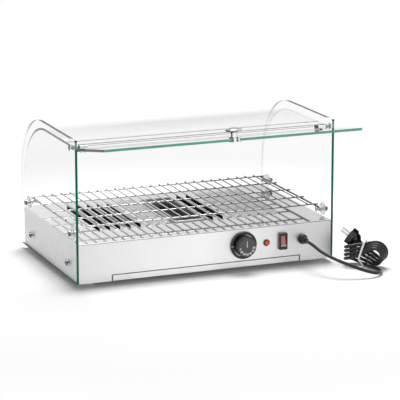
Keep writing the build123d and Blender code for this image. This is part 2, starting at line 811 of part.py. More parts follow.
BODY_FRONT = -SHEET
with BuildPart() as thermostat_body:
    with BuildSketch(front_face.offset(BODY_FRONT)) as body_outline:
        with Locations(DIAL):
            RectangleRounded(42, 34, 3)
            Circle(SHAFT_RADIUS + 0.1, mode=Mode.SUBTRACT)
            with Locations((-14, 0), (14, 0)):
                Circle(1.9, mode=Mode.SUBTRACT)
    extrude(amount=-24.0)
    with BuildSketch(front_face.offset(BODY_FRONT - 24.0)) as body_back:
        with Locations(DIAL):
            RectangleRounded(36, 28, 3)
    extrude(amount=-10.0)
    with BuildSketch(front_face.offset(BODY_FRONT - 34.0)) as body_tabs:
        with Locations((DIAL[0] - 10, DIAL[1]), (DIAL[0] + 10, DIAL[1])):
            Rectangle(0.8, 6.3)
    extrude(amount=-9.0)
thermostat_body.part.label = "thermostat_body"
export_step(thermostat_body.part, "parts/thermostat_body.step")

with BuildPart() as thermostat_screws:
    for offset in (-14, 14):
        with BuildSketch(lathe_from_front(DIAL[0] + offset, DIAL[1])) as small_screw:
            with BuildLine():
                Polyline((0, 7), (1.9, 7), (1.9, 0), (3.4, 0), (3.0, -1.6), (0, -1.9), close=True)
            make_face()
        revolve(axis=axis_from_front(DIAL[0] + offset, DIAL[1]))
thermostat_screws.part.label = "thermostat_screws"
export_step(thermostat_screws.part, "parts/thermostat_screws.step")

# Pilot lamp
with BuildPart() as pilot_lens:
    with BuildSketch(lathe_from_front(*LAMP)) as lens_half:
        with BuildLine():
            Polyline((0, -5.0), (0, 0), (7.0, 0), (7.0, -1.4), (6.0, -2.4))
            TangentArc((0, -5.0), (6.0, -2.4), tangent=(1, 0))
        make_face()
    revolve(axis=axis_from_front(*LAMP))
pilot_lens.part.label = "pilot_lens"
export_step(pilot_lens.part, "parts/pilot_lens.step")

with BuildPart() as pilot_body:
    with BuildSketch(front_face) as pilot_round:
        with Locations(LAMP):
            Circle(5.0)
    extrude(amount=-22.0)
    with BuildSketch(front_face.offset(-22.0)) as pilot_tabs:
        with Locations((LAMP[0] - 2.5, LAMP[1]), (LAMP[0] + 2.5, LAMP[1])):
            Rectangle(0.8, 4.8)
    extrude(amount=-8.0)
pilot_body.part.label = "pilot_body"
export_step(pilot_body.part, "parts/pilot_body.step")

# Rocker switch: frame and body in one moulding, rocker on its own pivots
ROCKER_PIVOT_OUT = 3.2
with BuildPart() as switch_frame:
    with BuildSketch(front_face) as frame_outline:
        with Locations(SWITCH):
            RectangleRounded(18, 35, 2)
    extrude(amount=7.0)
    fillet(switch_frame.faces().sort_by(Axis.Y)[0].edges(), 1.2)
    with BuildSketch(front_face) as switch_box:
        with Locations(SWITCH):
            Rectangle(13.2, 29.0)
    extrude(amount=-26.0)
    with BuildSketch(front_face.offset(7.0)) as rocker_well:
        with Locations(SWITCH):
            Rectangle(11.6, 23.2)
    extrude(amount=-15.0, mode=Mode.SUBTRACT)
    pivot_plane = Plane(
        origin=(SWITCH[0] - 7.4, FRONT - ROCKER_PIVOT_OUT, SWITCH[1]),
        x_dir=(0, 1, 0),
        z_dir=(1, 0, 0),
    )
    with BuildSketch(pivot_plane) as pivot_bores:
        Circle(1.55)
    extrude(amount=14.8, mode=Mode.SUBTRACT)
    with BuildSketch(front_face.offset(-26.0)) as switch_tabs:
        with Locations(*[(SWITCH[0], SWITCH[1] + step) for step in (-9, 0, 9)]):
            Rectangle(6.3, 0.8)
    extrude(amount=-8.0)
switch_frame.part.label = "switch_frame"
export_step(switch_frame.part, "parts/switch_frame.step")

rocker_lean = math.radians(ROCKER_TILT)
rocker_plane = Plane(
    origin=(SWITCH[0] - 5.5, FRONT - ROCKER_PIVOT_OUT, SWITCH[1]),
    x_dir=(0, math.cos(rocker_lean), -math.sin(rocker_lean)),
    z_dir=(1, 0, 0),
)
with BuildPart() as switch_rocker:
    with BuildSketch(rocker_plane) as rocker_side:
        with BuildLine():
            Polyline((3.5, 6.0), (3.5, -6.0), (-1.0, -10.9), (-2.6, -10.9))
            ThreePointArc((-2.6, -10.9), (-1.5, 0), (-2.6, 10.9))
            Polyline((-2.6, 10.9), (-1.0, 10.9), (3.5, 6.0))
        make_face()
    extrude(amount=11.0)
    with BuildSketch(rocker_plane.offset(-1.6)) as rocker_pivots:
        Circle(1.5)
    extrude(amount=14.2)
switch_rocker.part.label = "switch_rocker"
export_step(switch_rocker.part, "parts/switch_rocker.step")

# Cable gland with its tapered strain relief, and the lock nut inside
GLAND_LENGTH = 22.0
with BuildPart() as cable_gland:
    with BuildSketch(lathe_from_front(*GLAND)) as gland_half:
        with BuildLine():
            Polyline(
                (CORD_RADIUS, 12.0),
                (8.0, 12.0),
                (8.0, 0),
                (10.2, 0),
                (10.2, -5.5),
                (8.8, -8.0),
                (7.4, -9.0),
                (5.0, -GLAND_LENGTH),
                (CORD_RADIUS, -GLAND_LENGTH),
                close=True,
            )
        make_face()
    revolve(axis=axis_from_front(*GLAND))
cable_gland.part.label = "cable_gland"
export_step(cable_gland.part, "parts/cable_gland.step")

with BuildPart() as gland_nut:
    with BuildSketch(front_face.offset(-SHEET)) as nut_outline:
        with Locations(GLAND):
            RegularPolygon(11.5, 6)
            Circle(8.0, mode=Mode.SUBTRACT)
    extrude(amount=-5.0)
gland_nut.part.label = "gland_nut"
export_step(gland_nut.part, "parts/gland_nut.step")

# Shield between the heated space and the controls: a wall and a shelf over the crumb tray
SHIELD_Y = FRONT + 78.0
SHELF_Z = BOTTOM + 14.0
ELEMENT_Z = BOTTOM + 52.0
ELEMENT_LEGS = [60.0, 150.0]
ELEMENT_RADIUS = 4.0
leg_spots = [(side * x, ELEMENT_Z) for side in (-1, 1) for x in ELEMENT_LEGS]
with BuildPart() as control_shield:
    with BuildSketch(side_profile(-PLATE_HALF)) as shield_profile:
        with BuildLine():
            Polyline(
                (FRONT + 2 * SHEET, SHELF_Z),
                (SHIELD_Y, SHELF_Z),
                (SHIELD_Y, DECK - SHEET),
                (SHIELD_Y + SHEET, DECK - SHEET),
                (SHIELD_Y + SHEET, SHELF_Z - SHEET),
                (FRONT + 2 * SHEET, SHELF_Z - SHEET),
                close=True,
            )
        make_face()
    extrude(amount=2 * PLATE_HALF)
    with BuildSketch(Plane.XZ.offset(-SHIELD_Y)) as leg_holes:
        with Locations(*leg_spots):
            Circle(ELEMENT_RADIUS + 2.0)
    extrude(amount=-SHEET, mode=Mode.SUBTRACT)
    with BuildSketch(Plane.XY.offset(SHELF_Z)) as shelf_ends:
        for side in (-1, 1):
            with Locations((side * (PLATE_HALF - 2.5), FRONT + 60)):
                Rectangle(5, 20, mode=Mode.ADD)
    extrude(amount=-SHEET, mode=Mode.SUBTRACT)
control_shield.part.label = "control_shield"
export_step(control_shield.part, "parts/control_shield.step")

# Heating elements: one hairpin tube under each half of the deck
with BuildPart() as heating_elements:
    for side in (-1, 1):
        inner = side * ELEMENT_LEGS[0]
        outer = side * ELEMENT_LEGS[1]
        bend = (ELEMENT_LEGS[1] - ELEMENT_LEGS[0]) / 2
        with BuildLine(Plane.XY.offset(ELEMENT_Z)) as hairpin:
            near_leg = Line((inner, FRONT + 66), (inner, FRONT + 245))
            turn = RadiusArc(near_leg @ 1, (outer, FRONT + 245), side * bend)
            Line(turn @ 1, (outer, FRONT + 66))
        with BuildSketch(Plane.XZ.offset(-(FRONT + 66))) as tube_section:
            with Locations((inner, ELEMENT_Z)):
                Circle(ELEMENT_RADIUS)
        sweep(path=hairpin.wires()[0])
    with BuildSketch(Plane.XZ.offset(-(FRONT + 66))) as terminals:
        with Locations(*leg_spots):
            Circle(1.5)
    extrude(amount=10.0)
heating_elements.part.label = "heating_elements"
export_step(heating_elements.part, "parts/heating_elements.step")

with BuildPart() as element_nuts:
    with BuildSketch(Plane.XZ.offset(-SHIELD_Y)) as element_nut_outline:
        with Locations(*leg_spots):
            RegularPolygon(9.0, 6)
            Circle(ELEMENT_RADIUS, mode=Mode.SUBTRACT)
    extrude(amount=4.0)
element_nuts.part.label = "element_nuts"
export_step(element_nuts.part, "parts/element_nuts.step")

# Hangers: a strip under each hairpin, folded up to the deck at both ends
with BuildPart() as element_hangers:
    with BuildSketch(Plane.XZ.offset(-(FRONT + 190))) as hanger_profile:
        for side in (-1, 1):
            low = ELEMENT_Z - ELEMENT_RADIUS - SHEET
            with BuildLine():
                Polyline(
                    (side * 44, DECK - SHEET),
                    (side * 44, low),
                    (side * 166, low),
                    (side * 166, DECK - SHEET),
                    (side * (166 - SHEET), DECK - SHEET),
                    (side * (166 - SHEET), low + SHEET),
                    (side * (44 + SHEET), low + SHEET),
                    (side * (44 + SHEET), DECK - SHEET),
                    close=True,
                )
            make_face()
    extrude(amount=-12)
element_hangers.part.label = "element_hangers"
export_step(element_hangers.part, "parts/element_hangers.step")

# Terminal block on the shelf
with BuildPart() as terminal_block:
    with BuildSketch(Plane.XY.offset(SHELF_Z)) as block_outline:
        with Locations((232, FRONT + 48)):
            Rectangle(34, 20)
    extrude(amount=16)
    with BuildSketch(Plane.XY.offset(SHELF_Z + 16)) as block_wells:
        with Locations((232, FRONT + 48)):
            with GridLocations(11, 10, 3, 2):
                Circle(2.4)
    extrude(amount=-7, mode=Mode.SUBTRACT)
terminal_block.part.label = "terminal_block"
export_step(terminal_block.part, "parts/terminal_block.step")

# Feet with their screws and nuts
with BuildPart() as feet:
    with BuildSketch() as foot_round:
        with Locations(*FOOT_SPOTS):
            Circle(13.0)
    extrude(amount=FOOT_HEIGHT, taper=-5)
    with BuildSketch() as foot_wells:
        with Locations(*FOOT_SPOTS):
            Circle(5.5)
    extrude(amount=6.0, mode=Mode.SUBTRACT)
    with BuildSketch(Plane.XY.offset(6.0)) as foot_bores:
        with Locations(*FOOT_SPOTS):
            Circle(2.5)
    extrude(amount=FOOT_HEIGHT - 6.0, mode=Mode.SUBTRACT)
feet.part.label = "feet"
export_step(feet.part, "parts/feet.step")

with BuildPart() as foot_screws:
    with BuildSketch(Plane.XY.offset(3.0)) as screw_heads:
        with Locations(*FOOT_SPOTS):
            Circle(4.5)
    extrude(amount=3.0)
    with BuildSketch(Plane.XY.offset(6.0)) as screw_shanks:
        with Locations(*FOOT_SPOTS):
            Circle(2.5)
    extrude(amount=11.0)
foot_screws.part.label = "foot_screws"
export_step(foot_screws.part, "parts/foot_screws.step")

with BuildPart() as foot_nuts:
    with BuildSketch(Plane.XY.offset(BOTTOM + SHEET)) as foot_nut_outline:
        with Locations(*FOOT_SPOTS):
            RegularPolygon(4.6, 6)
            Circle(2.5, mode=Mode.SUBTRACT)
    extrude(amount=4.0)
foot_nuts.part.label = "foot_nuts"
export_step(foot_nuts.part, "parts/foot_nuts.step")

# Cord hank: one cord in round lobes with a drawn-in waist, lying flat at the left lobe
# and standing at the right one. Each turn climbs to the next layer round the left lobe.
drawn_in = LOBE_RADIUS - WAIST
NECK_RADIUS = (LOBE_CENTRE**2 + drawn_in**2) / (4 * drawn_in)
NECK_ANGLE = math.asin(LOBE_CENTRE / 2 / NECK_RADIUS)
LOBE_ARC = LOBE_RADIUS * math.pi / 2
NECK_ARC = NECK_RADIUS * NECK_ANGLE
QUARTER_TURN = LOBE_ARC + 2 * NECK_ARC


def quarter_point(run):
    """Point of one quarter of a flat turn, from the end of the right lobe to the waist."""
    if run < LOBE_ARC:
        angle = run / LOBE_RADIUS
        return LOBE_CENTRE + LOBE_RADIUS * math.cos(angle), LOBE_RADIUS * math.sin(angle)
    if run < LOBE_ARC + NECK_ARC:
        angle = (run - LOBE_ARC) / NECK_RADIUS
        across = LOBE_RADIUS - NECK_RADIUS * (1 - math.cos(angle))
        return LOBE_CENTRE - NECK_RADIUS * math.sin(angle), across
    angle = (QUARTER_TURN - run) / NECK_RADIUS
    return NECK_RADIUS * math.sin(angle), WAIST + NECK_RADIUS * (1 - math.cos(angle))


def flat_turn(turn):
    """Point of a flat turn, as the way along the hank and the way across it."""
    quarter, run = divmod((turn % 1.0) * 4 * QUARTER_TURN, QUARTER_TURN)
    along, across = quarter_point(run if quarter in (0, 2) else QUARTER_TURN - run)
    return (along if quarter in (0, 3) else -along), (across if quarter < 2 else -across)


def ease(share):
    share = max(0.0, min(1.0, share))
    return share * share * (3 - 2 * share)


def hank_ways(along):
    """Share of the twist at a place along the hank, with its ways across and up its layers."""
    reach = max(-1.0, min(1.0, along / TWIST_SPAN))
    share = (1 + math.sin(math.pi / 2 * reach)) / 2
    lean = math.radians(HANK_TWIST) * share
    wide = HANK_ACROSS * math.cos(lean) + UPWARD * math.sin(lean)
    layers = HANK_ACROSS * -math.sin(lean) + UPWARD * math.cos(lean)
    return share, wide, layers


def hank_middle(along):
    share = hank_ways(along)[0]
    height = LEFT_LOBE_MIDDLE + (RIGHT_LOBE_MIDDLE - LEFT_LOBE_MIDDLE) * share
    return HANK_MIDDLE + HANK_RUN * along + UPWARD * height


def hank_point(turn):
    along, across = flat_turn(turn)
    share, wide, layers = hank_ways(along)
    layer = math.floor(turn) + ease((turn % 1.0 - 0.31) / 0.32) - 2
    return hank_middle(along) + wide * across + layers * (layer * TURN_STEP)


def hank_heading(turn):
    return (hank_point(turn + 0.0005) - hank_point(turn - 0.0005)).normalized()


def meeting(a, heading_a, b, heading_b):
    """Where two arcs that leave a and reach b meet, and their heading there."""
    gap = b - a
    both = heading_a + heading_b
    bend = 2 * (1 - heading_a.dot(heading_b))
    if bend > 0.000001:
        root = math.sqrt(gap.dot(both) ** 2 + bend * gap.dot(gap))
        reach = (root - gap.dot(both)) / bend
    else:
        reach = gap.dot(gap) / (4 * gap.dot(heading_b))
    middle = (a + b + (heading_a - heading_b) * reach) * 0.5
    heading = ((b - heading_b * reach) - (a + heading_a * reach)).normalized()
    return middle, heading


lobe_share = LOBE_ARC / (4 * QUARTER_TURN)
turn_marks = [0, lobe_share, 0.25, 0.5 - lobe_share, 0.5, 0.5 + lobe_share, 0.75, 1 - lobe_share]
turns = [
    whole + mark
    for whole in range(5)
    for mark in turn_marks
    if FIRST_TURN + 0.03 < whole + mark < LAST_TURN - 0.03
]
turns = [FIRST_TURN] + turns + [LAST_TURN]
hank_marks = [(hank_point(turn), hank_heading(turn)) for turn in turns]
hank_start = hank_marks[0][0] - hank_marks[0][1] * 2 * CORD_RADIUS
plug_rear = hank_marks[-1][0] + hank_marks[-1][1] * 6 + PLUG_AIM * 8
tail_straight = plug_rear - PLUG_AIM * 2 * CORD_RADIUS
tail_marks = [hank_marks[-1], (tail_straight, PLUG_AIM)]

with BuildPart() as cord_hank:
    with BuildLine() as hank_route:
        Line(hank_start, hank_marks[0][0])
        for (a, heading_a), (b, heading_b) in zip(
            hank_marks + tail_marks[1:-1], hank_marks[1:] + tail_marks[1:]
        ):
            middle, heading = meeting(a, heading_a, b, heading_b)
            TangentArc(a, middle, tangent=heading_a)
            TangentArc(middle, b, tangent=heading)
        Line(tail_straight, plug_rear)
    with BuildSketch(Plane(origin=hank_start, z_dir=hank_marks[0][1])) as hank_section:
        Circle(CORD_RADIUS)
    sweep(path=hank_route.wires()[0])
cord_hank.part.label = "cord_hank"
export_step(cord_hank.part, "parts/cord_hank.step")

# Cord lead: from the gland down to the hank
lead_turn = hank_start - hank_marks[0][1] * 20
lead_low = lead_turn - Vector(0.33, 0.94, -0.06).normalized() * 26
lead_front = lead_low - Vector(0.82, 0.56, -0.12).normalized() * 28
gland_end = Vector(GLAND[0], FRONT - GLAND_LENGTH, GLAND[1])
lead_drop = Vector(232, FRONT - 113, 37)
lead_points = [
    gland_end,
    Vector(GLAND[0], FRONT - LEAD_OUT, GLAND[1]),
    Vector(213, FRONT - 82, 48),
    lead_drop,
    (lead_drop + lead_front) * 0.5 + Vector(0, -7, -1),
    lead_front,
    lead_low,
    lead_turn,
    hank_start,
]
lead_radii = []
for before, corner, after in zip(lead_points, lead_points[1:], lead_points[2:]):
    half_turn = math.radians((corner - before).get_angle(after - corner)) / 2
    shorter = min((corner - before).length, (after - corner).length)
    lead_radii.append(0.45 * shorter / math.tan(half_turn))

with BuildPart() as cord_lead:
    with BuildLine() as lead_route:
        FilletPolyline(*lead_points, radius=lead_radii)
    with BuildSketch(Plane(origin=gland_end, z_dir=(0, -1, 0))) as lead_section:
        Circle(CORD_RADIUS)
    sweep(path=lead_route.wires()[0])
cord_lead.part.label = "cord_lead"
export_step(cord_lead.part, "parts/cord_lead.step")

print("cord_lead radii", [round(radius, 1) for radius in lead_radii])
for tube, route in ((cord_lead, lead_route), (cord_hank, hank_route)):
    length = sum(edge.length for edge in route.edges())
    ratio = tube.part.volume / (math.pi * CORD_RADIUS**2 * length)
    print(tube.part.label, "length", round(length), "volume over section times length", round(ratio, 4))

# Least gap between two turns of the hank, measured on points 1.5 mm apart or less
path = []
run = 0
steps = 800
for step in range(steps + 1):
    point = hank_point(FIRST_TURN + (LAST_TURN - FIRST_TURN) * step / steps)
    if path:
        run += (point - path[-1][0]).length
    path.append((point, run))
least = min(
    (a - b).length
    for place, (a, run_a) in enumerate(path)
    for b, run_b in path[place:]
    if run_b - run_a > 25
)
print("cord_hank least gap", round(least - 2 * CORD_RADIUS, 2))

# Tie: a flat band round the waist with its ends twisted together
waist_wide, waist_layers = hank_ways(0)[1:]
waist_plane = Plane(origin=hank_middle(0) - HANK_RUN * 2, x_dir=waist_wide, z_dir=HANK_RUN)
with BuildPart() as cord_tie:
    with BuildSketch(waist_plane) as band_outline:
        RectangleRounded(37.4, 44.8, 5.6)
        RectangleRounded(35.4, 42.8, 4.6, mode=Mode.SUBTRACT)
    extrude(amount=4.0)
    with BuildSketch(waist_plane.offset(1.0)) as twisted_ends:
        with Locations((-8, 21.9)):
            SlotCenterPoint((0, 0), (-5, 3), 2.0)
    extrude(amount=2.0)
cord_tie.part.label = "cord_tie"
export_step(cord_tie.part, "parts/cord_tie.step")

# Mains plug with two round pins
plug_lathe = Plane(origin=plug_rear, x_dir=PLUG_AIM, z_dir=PLUG_AIM.cross(UPWARD).normalized())
plug_pin_way = UPWARD.cross(PLUG_AIM).normalized() * 0.76 + PLUG_AIM.cross(
    UPWARD.cross(PLUG_AIM).normalized()
) * 0.65
plug_face = Plane(origin=plug_rear + PLUG_AIM * PLUG_LENGTH, x_dir=plug_pin_way, z_dir=PLUG_AIM)
with BuildPart() as plug_body:
    with BuildSketch(plug_lathe) as plug_half:
        with BuildLine():
            Polyline((PLUG_LENGTH, 0), (0, 0), (0, 4.6), (9, 5.4))
            Spline((9, 5.4), (15, 10.5), (24, 14.4), tangents=[(1, 0.1), (1, 0.1)])
            Polyline((24, 14.4), (25.5, 17.4), (26.5, 18), (37, 18), (PLUG_LENGTH, 17))
            Line((PLUG_LENGTH, 17), (PLUG_LENGTH, 0))
        make_face()
    revolve(plug_half.sketch, axis=Axis(plug_rear, PLUG_AIM))
    with BuildSketch(plug_face) as pin_bores:
        with GridLocations(19, 1, 2, 1):
            Circle(2.4)
    extrude(amount=-10, mode=Mode.SUBTRACT)
    with BuildSketch(plug_face) as earth_slots:
        with GridLocations(1, 35, 1, 2):
            Rectangle(7, 5)
    extrude(amount=-9, mode=Mode.SUBTRACT)
plug_body.part.label = "plug_body"
export_step(plug_body.part, "parts/plug_body.step")

with BuildPart() as plug_pins:
    with BuildSketch(plug_face.offset(-10)) as pin_rounds:
        with GridLocations(19, 1, 2, 1):
            Circle(2.4)
    extrude(amount=29)
    chamfer(plug_pins.edges().group_by(lambda edge: edge.center().dot(PLUG_AIM))[-1], length=0.8)
plug_pins.part.label = "plug_pins"
export_step(plug_pins.part, "parts/plug_pins.step")
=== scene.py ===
import math

import bpy
from mathutils import Matrix, Vector


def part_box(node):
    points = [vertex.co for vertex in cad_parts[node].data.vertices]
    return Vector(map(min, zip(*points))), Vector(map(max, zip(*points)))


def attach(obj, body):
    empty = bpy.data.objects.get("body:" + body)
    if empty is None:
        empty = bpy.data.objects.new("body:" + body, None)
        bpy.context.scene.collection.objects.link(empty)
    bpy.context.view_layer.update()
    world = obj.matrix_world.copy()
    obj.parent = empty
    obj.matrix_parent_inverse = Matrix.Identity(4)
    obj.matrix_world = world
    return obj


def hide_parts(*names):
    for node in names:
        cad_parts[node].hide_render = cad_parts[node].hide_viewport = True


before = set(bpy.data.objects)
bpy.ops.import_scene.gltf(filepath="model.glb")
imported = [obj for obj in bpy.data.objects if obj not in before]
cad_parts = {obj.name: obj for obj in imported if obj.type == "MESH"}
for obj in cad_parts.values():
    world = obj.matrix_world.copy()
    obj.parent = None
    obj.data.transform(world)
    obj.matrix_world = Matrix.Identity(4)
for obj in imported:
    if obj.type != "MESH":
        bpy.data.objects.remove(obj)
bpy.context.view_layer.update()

# Heated display case: the CAD pieces get their finishes here, and the mains cord its lay.
# Everything is in metres, in the frame of the CAD: X along the front, Y to the back, Z up.
# The finishes are painted by these faces, gaps and centres of the CAD pieces.
FRONT = -0.1039
DECK = 0.090
DIAL = (0.078, 0.0556)
LAMP = (0.129, 0.0556)
SWITCH = (0.1645, 0.056)
GLAND = (0.2085, 0.056)
GLASS_TOP = 0.299
REAR_BEND = 0.1061
ROOF_TOP = 0.2835
ROOF_FRONT = FRONT + 0.035
TRAY_GAP = 0.2025
TRAY_GAP_TOP = 0.0225
SHADE_BESIDE = 0.0018
SHADE_OVER = 0.0009
FLAP_PIVOT = (FRONT + 0.024, 0.2809)
FLAP_TILT = math.radians(10.7)
FLAP_HALF = 0.2687
FLAP_FRONT = -0.1728
FLAP_REAR = 0.0048
SHEET_FACE = 0.2725
PANE_FACE = 0.2775
GLASS_BOTTOM = 0.010
PANEL = 0.0045
AIR = 0.0001
CLAMP_STRIPES = 0.0085
LENS_RIM = (0.0040, 0.0054)
# Bands on the rocker: painted light down its middle, and a painted highlight near its lower end.
ROCKER_PAINTED_LIGHT = (0.001, 0.0062)
ROCKER_HIGHLIGHT = (0.0097, 0.0078)


def add_object(name, data):
    made = bpy.data.objects.new(name, data)
    bpy.context.scene.collection.objects.link(made)
    return made


# Camera, at the place that the photograph was taken from
def camera_at_the_photo():
    lens = bpy.data.cameras.new("photo_camera")
    lens.sensor_width = 36.0
    lens.lens = 196.37
    lens.clip_end = 60.0
    camera = add_object("photo_camera", lens)
    azimuth, elevation, roll = math.radians(22.020), math.radians(13.622), math.radians(-0.0445)
    forward = Vector(
        (
            math.sin(azimuth) * math.cos(elevation),
            math.cos(azimuth) * math.cos(elevation),
            -math.sin(elevation),
        )
    )
    turned = forward.to_track_quat("-Z", "Y").to_matrix() @ Matrix.Rotation(roll, 3, "Z")
    place = Vector((-1.60028, -3.91704 + FRONT, 1.18171))
    camera.matrix_world = Matrix.Translation(place) @ turned.to_4x4()
    bpy.context.scene.camera = camera


camera_at_the_photo()


# Mains cord: a lead from the gland, four turns and a bit of hank, and a tail up to the plug
CORD_RADIUS = 0.0034
HANK_MIDDLE = Vector((0.322, -0.163, 0))
HANK_RUN = Vector((0.6, -0.8, 0))
HANK_ACROSS = Vector((0.8, 0.6, 0))
UPWARD = Vector((0, 0, 1))
LOBE_RADIUS = 0.0204
LOBE_CENTRE = 0.023
WAIST = 0.013
TURN_STEP = 0.0081
FIRST_TURN = 0.165
LAST_TURN = 4.25
HANK_STEPS = 66
LAYER_START = 0.31
LAYER_SPAN = 0.32
MIDDLE_LAYER = 2
HANK_TWIST = -80.0
TWIST_SPAN = 0.046
LEFT_LOBE_MIDDLE = 0.0237
RIGHT_LOBE_MIDDLE = 0.0303
PLUG_AIM = Vector((-0.61, 0.54, 0.58)).normalized()


def flat_turn(turn):
    """A turn laid flat: round lobes at both ends, drawn in at the waist between them."""
    drawn_in = LOBE_RADIUS - WAIST
    neck_radius = (LOBE_CENTRE**2 + drawn_in**2) / (4 * drawn_in)
    neck_angle = math.asin(LOBE_CENTRE / 2 / neck_radius)
    lobe_arc = LOBE_RADIUS * math.pi / 2
    neck_arc = neck_radius * neck_angle
    quarter_turn = lobe_arc + 2 * neck_arc
    quarter, run = divmod((turn % 1.0) * 4 * quarter_turn, quarter_turn)
    if quarter in (1, 3):
        run = quarter_turn - run
    if run < lobe_arc:
        angle = run / LOBE_RADIUS
        along = LOBE_CENTRE + LOBE_RADIUS * math.cos(angle)
        across = LOBE_RADIUS * math.sin(angle)
    elif run < lobe_arc + neck_arc:
        angle = (run - lobe_arc) / neck_radius
        along = LOBE_CENTRE - neck_radius * math.sin(angle)
        across = LOBE_RADIUS - neck_radius * (1 - math.cos(angle))
    else:
        angle = (quarter_turn - run) / neck_radius
        along = neck_radius * math.sin(angle)
        across = WAIST + neck_radius * (1 - math.cos(angle))
    return (along if quarter in (0, 3) else -along), (across if quarter < 2 else -across)


def ease(share):
    share = max(0.0, min(1.0, share))
    return share * share * (3 - 2 * share)


def hank_point(turn):
    """A turn lies flat at its left lobe and stands at its right one, layer beside layer."""
    along, across = flat_turn(turn)
    reach = max(-1.0, min(1.0, along / TWIST_SPAN))
    share = (1 + math.sin(math.pi / 2 * reach)) / 2
    lean = math.radians(HANK_TWIST) * share
    wide = HANK_ACROSS * math.cos(lean) + UPWARD * math.sin(lean)
    layers = HANK_ACROSS * -math.sin(lean) + UPWARD * math.cos(lean)
    risen = ease((turn % 1.0 - LAYER_START) / LAYER_SPAN)
    layer = math.floor(turn) + risen - MIDDLE_LAYER
    height = LEFT_LOBE_MIDDLE + (RIGHT_LOBE_MIDDLE - LEFT_LOBE_MIDDLE) * share
    middle = HANK_MIDDLE + HANK_RUN * along + UPWARD * height
    return middle + wide * across + layers * (layer * TURN_STEP)


def hank_heading(turn):
    return (hank_point(turn + 0.0005) - hank_point(turn - 0.0005)).normalized()


def cord_route():
    """Control points of the whole cord, and where the plug's rear is."""
    first, last = hank_point(FIRST_TURN), hank_point(LAST_TURN)
    into_hank, out_of_hank = hank_heading(FIRST_TURN), hank_heading(LAST_TURN)
    hank_start = first - into_hank * 2 * CORD_RADIUS
    turn_in = hank_start - into_hank * 0.020 + UPWARD * 0.0012
    low = turn_in - Vector((0.33, 0.94, -0.06)).normalized() * 0.026
    nearest = low - Vector((0.82, 0.56, -0.12)).normalized() * 0.028
    drop = Vector((0.232, FRONT - 0.113, 0.037))
    lead = [
        Vector((GLAND[0], FRONT - 0.022, GLAND[1])),
        Vector((GLAND[0], FRONT - 0.050, GLAND[1])),
        Vector((0.213, FRONT - 0.082, 0.048)),
        drop,
        (drop + nearest) * 0.5 + Vector((0, -0.007, -0.001)),
        nearest,
        low,
        turn_in,
    ]
    step = (LAST_TURN - FIRST_TURN) / HANK_STEPS
    hank = [hank_point(FIRST_TURN + step * number) for number in range(HANK_STEPS + 1)]
    plug_rear = last + out_of_hank * 0.006 + PLUG_AIM * 0.008
    tail = [plug_rear - PLUG_AIM * 2 * CORD_RADIUS, plug_rear]
    return lead + hank + tail, plug_rear


route, plug_rear = cord_route()


def mains_cord():
    curve = bpy.data.curves.new("mains_cord", "CURVE")
    curve.dimensions = "3D"
    spline = curve.splines.new("NURBS")
    spline.points.add(len(route) - 1)
    for point, place in zip(spline.points, route):
        point.co = (*place, 1.0)
        point.radius = CORD_RADIUS
    spline.order_u = 3
    spline.use_endpoint_u = True
    curve.resolution_u = 6
    curve.bevel_depth = 1.0
    curve.bevel_resolution = 5
    return add_object("mains_cord", curve)


cord = mains_cord()
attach(cord, "case")
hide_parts("cord_lead", "cord_hank")


# Shader values
class Value:
    """A shader value. Sums and products of values are written as plain arithmetic."""

    def __init__(self, finish, socket):
        self.finish = finish
        self.socket = socket

    def maths(self, operation, *others, swapped=False):
        terms = [self, *others]
        if swapped:
            terms.reverse()
        made = self.finish.node(
            "ShaderNodeMath", {"operation": operation}, dict(enumerate(terms))
        )
        return self.finish.value(made, 0)

    def __add__(self, other):
        return self.maths("ADD", other)

    __radd__ = __add__

    def __sub__(self, other):
        return self.maths("SUBTRACT", other)

    def __rsub__(self, other):
        return self.maths("SUBTRACT", other, swapped=True)

    def __mul__(self, other):
        return self.maths("MULTIPLY", other)

    def __truediv__(self, other):
        return self.maths("DIVIDE", other)

    def __neg__(self):
        return self * -1.0

    def __abs__(self):
        return self.maths("ABSOLUTE")

    def above(self, edge):
        return self.maths("GREATER_THAN", edge)

    def below(self, edge):
        return self.maths("LESS_THAN", edge)

    def most(self, other):
        return self.maths("MAXIMUM", other)

    def least(self, other):
        return self.maths("MINIMUM", other)

    def rising(self, start, end):
        """0 before start and 1 after end, with an even slope between."""
        return ((self - start) / (end - start)).most(0.0).least(1.0)


